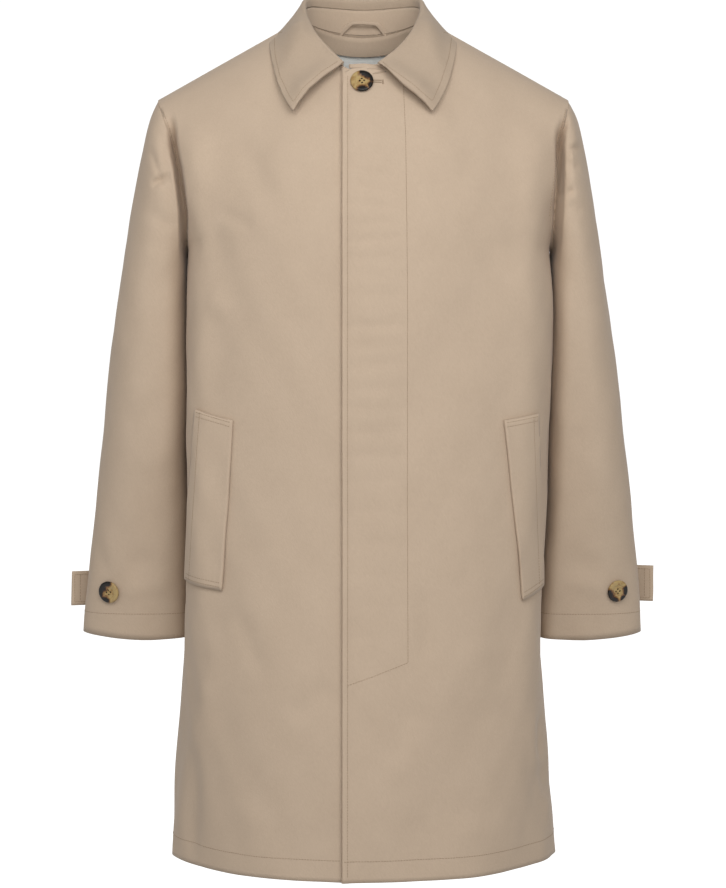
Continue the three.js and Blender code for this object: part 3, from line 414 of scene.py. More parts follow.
def from_round(middle, height, first=-180.0, last=180.0, reach=0.5, step=0.4):
    """Rays towards an upright middle line (x, y in millimetres), turning in degrees from straight in front."""
    rays = []
    for i in range(int((last - first) / step) + 1):
        turn = math.radians(first + step * i)
        way = Vector((math.sin(turn), -math.cos(turn), 0.0))
        start = Vector((middle[0] * MM, middle[1] * MM, height * MM)) + way * reach
        rays.append((start, -way))
    return rays


STITCH_MM, STITCH_GAP_MM, THREAD_MM = 2.7, 0.5, 0.62
STITCH_SIDES = 5
# A stitch as rings along it: how far along, how thick, and how high over the cloth in millimetres.
STITCH_RINGS = ((0.0, 0.45, -0.15), (0.15, 1.0, 0.05), (0.5, 1.0, 0.16), (0.85, 1.0, 0.05), (1.0, 0.45, -0.15))


def lockstitch(runs, length=STITCH_MM, gap=STITCH_GAP_MM):
    """Even stitches along runs of (point, way out): rows of start, end and way out."""
    rows = []
    for run in runs:
        table = np.array([(*point, *way) for point, way in run])
        along = np.concatenate([[0.0], np.cumsum(np.linalg.norm(np.diff(table[:, :3], axis=0), axis=1))])
        count = int(along[-1] / ((length + gap) * MM))
        pitch = along[-1] / max(1, count)
        for i in range(count):
            ends = (i * pitch, i * pitch + pitch * length / (length + gap))
            first, last = ([np.interp(end, along, table[:, k]) for k in range(6)] for end in ends)
            rows.append((first[:3], last[:3], first[3:]))
    return rows


def satin(runs, width, pitch=0.62):
    """Close stitches across runs of (point, way out), as on a buttonhole or a bar."""
    rows = []
    for run in runs:
        points = [point for point, way in run]
        length = sum((b - a).length for a, b in zip(points, points[1:]))
        count = max(2, int(length / (pitch * MM)))
        for i in range(count + 1):
            k = min(len(run) - 2, int(i / count * (len(run) - 1)))
            blend = i / count * (len(run) - 1) - k
            point = run[k][0].lerp(run[k + 1][0], blend)
            side = run[k][1].cross(run[k + 1][0] - run[k][0]).normalized() * width / 2 * MM
            rows.append((point - side, point + side, run[k][1]))
    return rows


def sewn(name, rows, thickness=THREAD_MM):
    """Makes one piece of all its stitches, each a small closed thread that dips into the cloth at its ends."""
    points, faces = [], []
    rings = len(STITCH_RINGS)
    for start, end, way in rows:
        start, end, way = np.array(start), np.array(end), np.array(way)
        along = (end - start) / (np.linalg.norm(end - start) + 1e-9)
        side = np.cross(way, along)
        side /= np.linalg.norm(side) + 1e-9
        up = np.cross(along, side)
        base = len(points)
        for share, thick, high in STITCH_RINGS:
            centre = start + (end - start) * share + up * high * MM
            for i in range(STITCH_SIDES):
                turn = 2 * math.pi * i / STITCH_SIDES
                spoke = side * math.cos(turn) + up * math.sin(turn)
                points.append(tuple(centre + spoke * thick * thickness / 2 * MM))
        for ring in range(rings - 1):
            for i in range(STITCH_SIDES):
                j = (i + 1) % STITCH_SIDES
                low, high = base + ring * STITCH_SIDES, base + (ring + 1) * STITCH_SIDES
                faces.append((low + i, low + j, high + j, high + i))
        faces.append(tuple(base + i for i in reversed(range(STITCH_SIDES))))
        faces.append(tuple(base + (rings - 1) * STITCH_SIDES + i for i in range(STITCH_SIDES)))
    mesh = bpy.data.meshes.new(name)
    mesh.from_pydata(points, [], faces)
    mesh.polygons.foreach_set("use_smooth", [True] * len(mesh.polygons))
    mesh.materials.append(thread)
    piece = bpy.data.objects.new(name, mesh)
    bpy.context.collection.objects.link(piece)
    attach(piece, "root")
    return piece


# Spun cotton-covered thread, a shade darker than the cloth: matt, with its plies as fine streaks 0.3 mm
# apart.
PLY_MM = 0.3
thread = bpy.data.materials.new("cotton_thread")
thread.use_nodes = True
thread_tree = thread.node_tree
thread_tree.nodes.clear()
thread_place = add(thread_tree, "TexCoord").outputs["Object"]
plies = add(thread_tree, "TexNoise", Vector=thread_place, Scale=1000 / PLY_MM, Detail=1.0)
thread_shade = add(thread_tree, "ValToRGB", Fac=plies.outputs["Fac"])
thread_shade.color_ramp.elements[0].color = linear("8A7660")
thread_shade.color_ramp.elements[1].color = linear("A48F78")
thread_body = add(thread_tree, "BsdfPrincipled", Base_Color=thread_shade.outputs["Color"], Roughness=0.8)
add(thread_tree, "OutputMaterial", Surface=thread_body.outputs[0])


def edge_at(piece, height, sign, half):
    """How far a piece reaches to one side near a height, on its front or back half, all in millimetres."""
    points = points_of(piece.data) / MM
    near = (np.abs(points[:, 2] - height) < 3.0) & (points[:, 1] * (-1 if half == "front" else 1) > -30.0)
    return sign * (points[near][:, 0] * sign).max()


# A turned hem 24 mm deep runs all round the coat, and a line of sewing follows each armhole on the body's side.
HEM_STITCH_Z = -953.0
ARMHOLE_STITCH_IN = 3.0
ARMHOLE_HEIGHTS = tuple(range(-104, -236, -6))
back_skin = skin_of(back)
back_rows = lockstitch(laid(back_skin, from_round((0, 0), HEM_STITCH_Z, 90, 270, step=0.25)))
for sign in (-1, 1):
    corners = [(edge_at(back, z, sign, "back") - sign * ARMHOLE_STITCH_IN, z) for z in ARMHOLE_HEIGHTS]
    back_rows += lockstitch(laid(back_skin, from_side(corners, "back")))
sewn("back_sewing", back_rows)


# Fronts. Left and right fronts of the same cloth; the wearer's left carries a
# fly placket 66 mm wide, whose folded edge laps over the right front.
fronts = {}
for side, area in (("left", 0.289), ("right", 0.284)):
    front = cloth_piece("front_panel_" + side, "front_" + side, 3, front_folds)
    fronts[side] = front

# The fly is stitched through 66 mm from its edge, down to a slant that closes it, and its edge is stitched too.
FLY_CORNERS = (
    (45.6, -73), (46.4, -95), (48.2, -143), (50, -324), (49.9, -548), (50.6, -731.6), (13.5, -746), (-19.5, -757.4))
EDGE_STITCH_IN = 6.6
EDGE_HEIGHTS = (*range(-70, -965, -8), -972)
front_skins = {side: skin_of(front) for side, front in fronts.items()}
front_rows = lockstitch(laid(front_skins["left"], from_side(FLY_CORNERS)))
fly_edge = [(edge_at(fronts["left"], z, -1, "front") + EDGE_STITCH_IN, z) for z in EDGE_HEIGHTS]
front_rows += lockstitch(laid(front_skins["left"], from_side(fly_edge)))
front_rows += lockstitch(laid(front_skins["left"], from_round((0, 0), HEM_STITCH_Z, -8, 90, step=0.25)))
front_rows += lockstitch(laid(front_skins["right"], from_round((0, 0), HEM_STITCH_Z, -90, -8, step=0.25)))
for side, sign in (("right", -1), ("left", 1)):
    corners = [(edge_at(fronts[side], z, sign, "front") - sign * ARMHOLE_STITCH_IN, z) for z in ARMHOLE_HEIGHTS]
    front_rows += lockstitch(laid(front_skins[side], from_side(corners)))
sewn("front_sewing", front_rows)


# Sleeves. Plain set-in sleeves that hang a little away from the body, open
# and hollow at the cuff.
SLEEVE_FOLDS = {
    "right": (
        (-249, -143, -226, -202, 4.2, -2.6), (-239, -128, -226, -178, 5.5, 2.0), (-246, -193, -217, -180, 4.0, -6.0),
        (-252, -216, -216, -245, 9.0, -2.0), (-262, -262, -222, -292, 13.0, 1.2), (-296, -380, -250, -430, 16.0, -1.0),
        (-284, -470, -226, -448, 14.0, -1.2), (-270, -520, -222, -500, 13.0, 1.1), (-286, -640, -236, -628, 9.0, -1.5),
        (-292, -672, -222, -658, 8.0, 1.9), (-312, -612, -304, -652, 7.0, -1.2), (-300, -560, -262, -590, 16.0, 1.0),
    ),
    "left": (
        (224, -154, 256, -147, 3.8, -6.5), (230, -134, 250, -130, 7.0, 1.2), (226, -168, 254, -171, 5.0, -3.6),
        (230, -180, 256, -188, 6.0, 1.6), (222, -205, 246, -198, 4.5, -4.5), (236, -212, 256, -224, 6.5, -1.8), (232, -236, 268, -262, 12.0, 1.2),
        (236, -300, 276, -340, 14.0, -1.0), (262, -420, 300, -460, 16.0, 1.0), (232, -480, 284, -505, 14.0, -1.2),
        (258, -560, 300, -596, 13.0, 1.0), (228, -655, 296, -668, 8.0, 1.9), (236, -628, 292, -640, 9.0, -1.4),
    ),
}
HIDDEN_SLEEVE_FOLDS = {
    "right": (
        (-240, -150, -222, -210, 6.0, -2.4), (-262, -210, -226, -250, 10.0, -2.0), (-290, -400, -240, -430, 14.0, -2.0),
        (-296, -440, -238, -470, 13.0, 1.6), (-300, -560, -250, -520, 15.0, -1.2), (-300, -640, -244, -655, 10.0, 1.4),
    ),
    "left": (
        (240, -150, 224, -214, 6.0, -2.2), (262, -206, 232, -256, 10.0, -1.8), (292, -404, 244, -420, 14.0, -1.9),
        (298, -452, 240, -462, 13.0, 1.5), (302, -548, 250, -530, 15.0, -1.2), (304, -650, 246, -640, 10.0, 1.3),
    ),
}


# Just below the armhole a sleeve leans on the body.
LEAN_MM = {"left": 4.0, "right": 0.8}
LEAN_X, LEAN_Z, LEAN_LONG = 242.0, -290.0, 50.0
# Beside the body a sleeve hangs full before it turns in; where it turns, at the cuff and at the armhole.
SLEEVE_INNER_X = {"left": (208.5, 221.0), "right": (207.5, 206.0)}
SLEEVE_FULL_RISE, SLEEVE_FULL_WIDTH = {"left": 7.5, "right": 2.5}, 16.0
# The cuff's edge hangs lower on its outer side and higher beside the body: how far from the middle, and how high.
CUFF_COLUMNS = ("from_middle", "rise")
CUFF_EDGE = ((208, 5.7), (222, 3.6), (236, 1.2), (250, -1.2), (264, -3.0), (280, -4.4), (300, -5.5), (322, -6.3))
CUFF_FROM, CUFF_TO = -698, -733
SEAM_HOLDS_MM = 14.0
# In front, the sleeve's edge is drawn in under the body's.
UNDER_MM, UNDER_LONG = 0.9, 3.0
body_solid = bmesh.new()
for panel in ("front_left", "front_right", "back"):
    body_solid.from_mesh(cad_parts[panel].data)
body_skin = BVHTree.FromBMesh(body_solid)
body_solid.free()


def sleeve_folds(side):
    """Gives the function that moves one sleeve's points by its folds, and with the body where they are sewn on."""
    sign = 1.0 if side == "left" else -1.0

    def eased(points):
        down = np.clip((-points[:, 2] - 0.09) / 0.64, 0.0, 1.0)
        middle_x = sign * (0.228 + 0.045 * down)
        middle_y = 0.006 + 0.036 * down
        out = np.stack([points[:, 0] - middle_x, points[:, 1] - middle_y, np.zeros(len(points))], 1)
        turn = np.arctan2(out[:, 0], -out[:, 1])
        out /= np.linalg.norm(out, axis=1)[:, None] + 1e-9
        seen = points[:, [0, 2]]
        away = np.array([body_skin.find_nearest(Vector(point))[3] for point in points]) / (SEAM_HOLDS_MM * MM)
        sewn = np.exp(-away ** 2) * np.clip((points[:, 2] + 0.285) / 0.02, 0.0, 1.0)
        rise = swells(turn * 0.07 + sign * 0.05, points[:, 2]) * 0.8
        rise += soft_ridges(seen, SLEEVE_FOLDS[side]) * np.clip(-out[:, 1] * 3.0, 0.0, 1.0)
        rise += soft_ridges(seen, HIDDEN_SLEEVE_FOLDS[side]) * np.clip(out[:, 1] * 3.0, 0.0, 1.0)
        moved = out * (rise * (1.0 - sewn))[:, None] + body_folds(points) * sewn[:, None]
        inner = np.clip((LEAN_X * MM - points[:, 0] * sign) / 0.020, 0.0, 1.0)
        lean = LEAN_MM[side] * MM * np.exp(-((points[:, 2] - LEAN_Z * MM) / (LEAN_LONG * MM)) ** 2)
        moved[:, 0] -= sign * lean * inner * (1.0 - sewn)
        under = np.exp(-(away * SEAM_HOLDS_MM / UNDER_LONG) ** 2) * (points[:, 2] > -0.262) * (-out[:, 1] > 0.0)
        moved[:, 0] -= sign * UNDER_MM * MM * under
        moved[:, 1] += UNDER_MM * MM * under
        inner_x = np.interp(points[:, 2] / MM, (-733.0, -330.0), SLEEVE_INNER_X[side])
        full = np.exp(-((points[:, 0] * sign / MM - inner_x - 9.0) / SLEEVE_FULL_WIDTH) ** 2)
        full *= ramp(points[:, 2], -280, -340) * np.clip(-out[:, 1] * 3.0, 0.0, 1.0)
        moved[:, 1] -= SLEEVE_FULL_RISE[side] * MM * full
        rim = np.interp(points[:, 0] * sign / MM, [row[0] for row in CUFF_EDGE], [row[1] for row in CUFF_EDGE])
        moved[:, 2] += rim * MM * ramp(points[:, 2], CUFF_FROM, CUFF_TO)
        return moved

    return eased


sleeves = {}
for side in ("left", "right"):
    sleeve = cloth_piece("sleeve_cloth_" + side, "sleeve_" + side, 3, sleeve_folds(side))
    sleeves[side] = sleeve

# The cuff hems are 30 mm deep.
CUFF_STITCH_Z, CUFF_MIDDLE = -697.0, (269.0, 41.0)
cuff_rows = []
for side, sign in (("left", 1), ("right", -1)):
    rays = from_round((sign * CUFF_MIDDLE[0], CUFF_MIDDLE[1]), CUFF_STITCH_Z, reach=0.2, step=1.5)
    cuff_rows += lockstitch(laid(skin_of(sleeves[side]), rays))
sewn("cuff_sewing", cuff_rows)


# Collar. A shirt-like collar: a stand rises from the neck seam, and the leaf
# turns over a soft roll and falls to two points.
STAND_RISE, STAND_RISE_HALF = 4.6, 15.0


def stand_folds(points):
    """The stand's front end stands up a little over the button."""
    moved = np.zeros_like(points)
    front = ramp(points[:, 1], -60, -85)
    moved[:, 2] = STAND_RISE * MM * np.exp(-(points[:, 0] / (STAND_RISE_HALF * MM)) ** 2) * front
    return moved


stand = cloth_piece("collar_stand_band", "collar_stand", 2, stand_folds)
# The leaf's edges in front, from the shoulder to the point and on to the middle, as (x, z).
LEAF_EDGES = {
    "right": ((-108.3, -19.6), (-106.6, -42.7), (-100.3, -70), (-88.7, -95), (-78.9, -111.2),
              (-64, -89), (-43, -69.8), (-24.3, -57.3)),
    "left": ((108.5, -20.4), (104, -46.5), (93.7, -78.2), (84.5, -100), (78.9, -107.5),
             (65.1, -96), (51.2, -83.8), (23.3, -63.7), (17.2, -56.3)),
}
LEAF_POINT = 4
LEAF_LIFT, LEAF_LIFT_WIDTH = 13.0, 15.0
# The front edges curve in towards the leaf: how far in, at shares of the way from the point to the middle.
LEAF_BOW_SHARES, LEAF_BOWS, LEAF_BOW_WIDTH = (0.0, 0.15, 0.38, 0.70, 1.0), (0.0, 3.0, 5.2, 3.4, 0.0), 18.0
SHOULDER_DROP = 4.0


def leaf_folds(points):
    """The leaf's front edges stand off the chest, and it lies lower on the shoulders."""
    moved = np.zeros_like(points)
    for side, sign in (("right", -1.0), ("left", 1.0)):
        edge = LEAF_EDGES[side][LEAF_POINT:]
        away = np.full(len(points), 1.0)
        share = np.zeros(len(points))
        for i, ((x0, z0), (x1, z1)) in enumerate(zip(edge, edge[1:])):
            start, run = np.array((x0, z0)) * MM, np.array((x1 - x0, z1 - z0)) * MM
            t = np.clip((points[:, [0, 2]] - start) @ run / (run @ run), 0.0, 1.0)
            far = np.linalg.norm(points[:, [0, 2]] - start - t[:, None] * run, axis=1)
            share = np.where(far < away, (i + t) / (len(edge) - 1), share)
            away = np.minimum(far, away)
        raised = 0.30 + 0.70 * np.sin(math.pi * np.clip(share * 0.8 + 0.15, 0, 1))
        lift = LEAF_LIFT * MM * raised * np.exp(-(away / (LEAF_LIFT_WIDTH * MM)) ** 2)
        lift *= (points[:, 1] < 0.0) & (points[:, 0] * sign > 0.0) & (points[:, 2] < -0.040)
        moved[:, 1] -= lift
        tip, end = np.array(edge[0]), np.array(edge[-1])
        inward = np.array((-(end - tip)[1], (end - tip)[0])) / np.linalg.norm(end - tip)
        inward *= np.sign(inward[1])
        bow = np.interp(share, LEAF_BOW_SHARES, LEAF_BOWS) * MM * np.exp(-(away / (LEAF_BOW_WIDTH * MM)) ** 2)
        bow *= (points[:, 1] < 0.0) & (points[:, 0] * sign > 0.0) & (points[:, 2] < -0.040)
        moved[:, 0] += inward[0] * bow
        moved[:, 2] += inward[1] * bow
        on_shoulder = ramp(points[:, 0] * sign, 78, 100) * ramp(points[:, 1], -60, -10) * ramp(points[:, 1], 45, 10)
        moved[:, 2] -= SHOULDER_DROP * MM * on_shoulder
    moved[:, 1] += swells(points[:, 0] * 1.6, points[:, 2]) * 0.5
    return moved


# The leaf wears a darker copy of the coat's cloth: painted shade for the light its upturned slope misses.
painted_shade_cloth = gabardine("cotton_gabardine_painted_shade", "AE9B87", "AC9985", "B09D89")
leaf = cloth_piece("collar_leaf_cloth", "collar_leaf", 3, leaf_folds)
leaf.data.materials[0] = painted_shade_cloth


def inset(corners, by):
    """An open line of corners moved sideways by a distance, to the left of its run for a positive one."""
    line = [Vector(corner) for corner in corners]
    moved = []
    for i, corner in enumerate(line):
        runs = [(b - a).normalized() for a, b in zip(line[max(0, i - 1):i + 1], line[max(0, i - 1) + 1:i + 2])]
        ways = [Vector((-run.y, run.x)) for run in runs]
        way = sum(ways, Vector((0.0, 0.0))).normalized()
        moved.append(tuple(corner + way * by / max(0.35, way.dot(ways[0]))))
    return moved


# The leaf is stitched close inside its edge all the way round.
LEAF_STITCH_IN = 5.4
leaf_skin = skin_of(leaf)
leaf_rows = []
for side, sign in (("right", 1.0), ("left", -1.0)):
    leaf_rows += lockstitch(laid(leaf_skin, from_side(inset(LEAF_EDGES[side], sign * LEAF_STITCH_IN))))
round_back = []
for ray in from_round((0, 0), -17.0, 78, 282, reach=0.3, step=0.5):
    start, toward = ray
    side_share = max(0.0, abs(start[0]) / 0.3 - 0.80) / 0.20
    round_back.append(((start[0], start[1], start[2] + 0.004 * side_share), toward))
leaf_rows += lockstitch(laid(leaf_skin, round_back))
sewn("collar_sewing", leaf_rows)


# Inside of the neck. A strip of the coat's cloth faces the back neck, and a
# narrow loop is caught in its upper seam. The pale lining shows below it.
FACING_MORE, FACING_FROM, FACING_LOW = 8.0, -2.0, -25.0
FACING_FORWARD = 4.5
LINING_FORWARD, LINING_FROM, LINING_FULL = 4.6, -80.0, -34.0


def longer_facing(points):
    """The facing hangs a little lower than its solid, in front of the lining."""
    moved = np.zeros_like(points)
    share = ramp(points[:, 2], FACING_FROM, FACING_LOW)
    moved[:, 2] = -FACING_MORE * MM * share
    moved[:, 1] = -FACING_FORWARD * MM * share
    return moved


def forward_lining(points):
    """The lining hangs close behind the facing's lower edge."""
    moved = np.zeros_like(points)
    moved[:, 1] = -LINING_FORWARD * MM * ramp(points[:, 2], LINING_FROM, LINING_FULL)
    return moved


facing = cloth_piece("neck_facing_strip", "neck_facing", 2, longer_facing)
lining = cloth_piece("lining_below_facing", "back_lining", 2, forward_lining)
# The loop is a narrow folded strip, pressed into a flat bar with two slanting legs: x, y, z and its width.
LOOP_COLUMNS = ("x", "y", "z", "width")
LOOP_PATH = (
    (-31.5, 72.4, -10.5, 6.4), (-28.5, 71.6, -7.0, 6.4), (-22.0, 69.8, -0.2, 6.2), (-16.5, 68.2, 4.6, 5.2),
    (-12.5, 67.2, 6.3, 4.0), (-4.0, 66.6, 6.6, 3.6), (6.0, 66.6, 6.2, 3.6), (15.0, 67.2, 5.6, 4.0),
    (19.0, 68.2, 3.4, 5.2), (23.5, 69.8, -1.6, 6.2), (28.2, 71.6, -7.4, 6.4), (30.2, 72.4, -10.5, 6.4),
)
LOOP_THICK, LOOP_STEPS = 1.3, 5


def strip(name, path, thick, steps):
    """A flat folded strip along a path, with a rounded section and closed ends."""
    table = np.array(path)
    at = np.linspace(0, len(path) - 1, (len(path) - 1) * steps + 1)
    rows = np.stack([np.interp(at, range(len(path)), table[:, k]) for k in range(4)], 1)
    for _ in range(3):
        rows[1:-1] = (rows[:-2] + 2 * rows[1:-1] + rows[2:]) / 4
    section = [(math.cos(turn), math.sin(turn)) for turn in np.linspace(0, 2 * math.pi, 13)[:-1]]
    section = [(math.copysign(abs(a) ** 0.5, a), math.copysign(abs(b) ** 0.7, b)) for a, b in section]
    points, faces = [], []
    for i, row in enumerate(rows):
        run = rows[min(i + 1, len(rows) - 1), :3] - rows[max(i - 1, 0), :3]
        run /= np.linalg.norm(run)
        flat = np.cross(run, (0.0, -1.0, 0.0))
        flat /= np.linalg.norm(flat)
        out = np.cross(flat, run)
        for a, b in section:
            points.append(tuple((row[:3] + flat * a * row[3] / 2 + out * b * thick / 2) * MM))
    count = len(section)
    for i in range(len(rows) - 1):
        for k in range(count):
            j = (k + 1) % count
            faces.append((i * count + k, i * count + j, (i + 1) * count + j, (i + 1) * count + k))
    faces.append(tuple(range(count))[::-1])
    faces.append(tuple((len(rows) - 1) * count + k for k in range(count)))
    mesh = bpy.data.meshes.new(name)
    mesh.from_pydata(points, [], faces)
    mesh.polygons.foreach_set("use_smooth", [True] * len(mesh.polygons))
    mesh.set_sharp_from_angle(angle=math.radians(60))
    piece = bpy.data.objects.new(name, mesh)
    bpy.context.collection.objects.link(piece)
    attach(piece, "root")
    return piece


loop = strip("hanger_loop_strip", LOOP_PATH, LOOP_THICK, LOOP_STEPS)
loop.data.materials.append(coat_cloth)
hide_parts("hanger_loop")
# The lining is pale, and its colour is pushed near white: partly its own colour, partly painted light for the shade
# inside the neck.
pale_lining_painted_light = gabardine("lining_twill_painted_light", "F0F2EE", "EDEFEB", "F3F5F1")
lining.data.materials[0] = pale_lining_painted_light


# Pocket welts. Wide slanted welts, folded double and stitched down at both
# ends.
WELT_EDGE_IN, WELT_END_IN, WELT_END_PAIR = 7.0, 3.0, 5.0
welt_rows = []
for side, sign, area in (("left", 1, 0.0118), ("right", -1, 0.0149)):
    welt = cloth_piece("welt_cloth_" + side, "pocket_welt_" + side, 2, body_folds)
    places = points_of(welt.data)[:, [0, 2]] / MM
    top_out, top_in, low_in, low_out = (
        Vector(places[np.argmax(places @ np.array(way))]) for way in
        ((sign, 0.6), (-sign, 0.6), (-sign, -0.6), (sign, -0.6)))
    down, across = (low_out - top_out).normalized(), (top_in - top_out).normalized()
    welt_skin = skin_of(welt)
    edge = [top_out + across * WELT_EDGE_IN + down * 2, low_out + across * WELT_EDGE_IN - down * 2]
    welt_rows += lockstitch(laid(welt_skin, from_side(edge)))
    for deep in (WELT_END_IN, WELT_END_IN + WELT_END_PAIR):
        for outer, inner, way in ((top_out, top_in, down), (low_out, low_in, -down)):
            line = [outer.lerp(inner, 0.05) + way * deep, outer.lerp(inner, 0.95) + way * deep]
            welt_rows += lockstitch(laid(welt_skin, from_side(line)))
sewn("welt_sewing", welt_rows)


# Cuff tabs. Loose straps sewn into the back seam of the sleeve.
TAB_STITCH_IN, TAB_SECOND_IN = 4.5, 11.0
# How each tab lies off its solid, outwards and up in millimetres, and how much taller it is.
TAB_COLUMNS = ("out", "up", "taller")
TABS = {"left": (0.0, -3.1, 1.12), "right": (2.1, -8.4, 1.08)}


def tab_place(side):
    """Gives the function that moves one tab's points to its place."""
    out, up, taller = TABS[side]
    sign = 1.0 if side == "left" else -1.0

    def eased(points):
        moved = np.zeros_like(points)
        middle = (points[:, 2].min() + points[:, 2].max()) / 2
        moved[:, 0] = sign * out * MM
        moved[:, 2] = up * MM + (taller - 1.0) * (points[:, 2] - middle)
        return moved

    return eased


tab_rows = []
for side in ("left", "right"):
    tab = cloth_piece("cuff_tab_" + side, "sleeve_tab_" + side, 2, tab_place(side))
    sign = 1 if side == "left" else -1
    places = points_of(tab.data) / MM
    low, high = places.min(0), places.max(0)
    tip = high[0] if side == "left" else low[0]
    corners = [
        (tip - sign * 40, high[2] - TAB_STITCH_IN), (tip - sign * TAB_STITCH_IN, high[2] - TAB_STITCH_IN),
        (tip - sign * TAB_STITCH_IN, low[2] + TAB_STITCH_IN), (tip - sign * 40, low[2] + TAB_STITCH_IN)]
    for half in ("front", "back"):
        tab_rows += lockstitch(laid(skin_of(tab), from_side(corners, half)))
    second = [(tip - sign * TAB_SECOND_IN, high[2] - TAB_STITCH_IN), (tip - sign * TAB_SECOND_IN, low[2] + TAB_STITCH_IN)]
    for half in ("front", "back"):
        tab_rows += lockstitch(laid(skin_of(tab), from_side(second, half)))
sewn("tab_sewing", tab_rows)


# Buttons. Casein buttons with four holes, turned with a dished middle inside
# a rounded rim; one closes the neck and one holds each cuff.
BUTTON_RINGS, BUTTON_SPOKES = 60, 120
DISH_SHARE, RIM_SHARE, ROUND_SHARE = 0.50, 0.66, 0.84
DISH_DEEP = 0.9
HOLES_OUT, HOLE_RADIUS, HOLE_DEEP = 2.6, 1.05, 1.7
# How far each button sits from its solid, to the wearer's left and up.
NECK_BUTTON_SHIFT, LEFT_BUTTON_SHIFT, RIGHT_BUTTON_SHIFT = (0.9, 2.4), (3.4, -2.4), (-3.4, -4.0)
BLOTCH_MM = 5.0
STREAK_MM = 1.2
# Where each button is darkest, in shares of its width and height, with the patches' sizes.
DARK_PATCHES = {
    "neck": ((0.58, 0.95, 0.22), (0.84, 0.84, 0.24), (1.00, 0.64, 0.17), (0.55, 0.02, 0.27), (0.94, 0.28, 0.18)),
    "cuff_left": ((0.04, 0.34, 0.25), (0.34, 0.04, 0.20), (0.97, 0.50, 0.22), (0.80, 0.14, 0.16)),
    "cuff_right": ((0.12, 0.72, 0.27), (0.42, 0.98, 0.22), (0.02, 0.40, 0.20), (0.30, 0.08, 0.22)),
}
TORTOISESHELL = ((0.02, "A78F60"), (0.20, "94774A"), (0.42, "745230"), (0.60, "3F2817"), (0.80, "120E0B"))
# Colours of the painted shade inside the holes.
IN_SHADE = ((0.0, "2A1D13"), (0.5, "1D1510"), (1.0, "120E0B"))


def casein(name, stops, patches):
    """Casein plastic, polished: soft dark patches over a lighter ground, in the colours of its stops."""
    plastic = bpy.data.materials.new(name)
    plastic.use_nodes = True
    tree = plastic.node_tree
    tree.nodes.clear()
    place = add(tree, "TexCoord")
    clouds = add(tree, "TexNoise", Vector=place.outputs["Object"], Scale=1000 / BLOTCH_MM, Detail=3.0, Roughness=0.6)
    streaks = add(tree, "TexNoise", Vector=place.outputs["Object"], Scale=1000 / STREAK_MM, Detail=2.0)
    clouded = add(tree, "MapRange", Value=clouds.outputs["Fac"], From_Min=0.3, From_Max=0.7, To_Min=-0.22, To_Max=0.30)
    streaked = add(tree, "MapRange", Value=streaks.outputs["Fac"], To_Min=-0.10, To_Max=0.10)
    across = add(tree, "Mapping", Vector=place.outputs["Generated"], Scale=(1.0, 0.0, 1.0))
    darkest = None
    for x, z, size in patches:
        away = add(tree, "VectorMath", {"operation": "DISTANCE"}, n0=across.outputs[0], n1=(x, 0.0, z))
        patch = add(tree, "MapRange", Value=away.outputs["Value"], From_Min=size * 1.45, From_Max=size * 0.55)
        if darkest:
            patch = add(tree, "Math", {"operation": "MAXIMUM"}, n0=patch.outputs[0], n1=darkest)
        darkest = patch.outputs[0]
    for more in (clouded, streaked):
        darkest = add(tree, "Math", {"operation": "ADD"}, n0=darkest, n1=more.outputs[0]).outputs[0]
    dye = add(tree, "ValToRGB", Fac=darkest).color_ramp
    dye.elements[0].position, dye.elements[1].position = stops[0][0], stops[-1][0]
    dye.elements[0].color, dye.elements[1].color = linear(stops[0][1]), linear(stops[-1][1])
    for share, colour in stops[1:-1]:
        dye.elements.new(share).color = linear(colour)
    ramp_node = next(node for node in tree.nodes if node.type == "VALTORGB")
    surface = add(tree, "BsdfPrincipled", Base_Color=ramp_node.outputs["Color"], Roughness=0.3)
    surface.inputs["IOR"].default_value = 1.53
    surface.inputs["Specular IOR Level"].default_value = 0.22
    add(tree, "OutputMaterial", Surface=surface.outputs[0])
    return plastic


# Casein dyed to look like tortoiseshell, amber with soft dark patches. Inside the holes the same casein is coloured
# near black: painted shade for the shadow deep in the holes.
painted_hole_shade = casein("casein_painted_hole_shade", IN_SHADE, DARK_PATCHES["neck"])


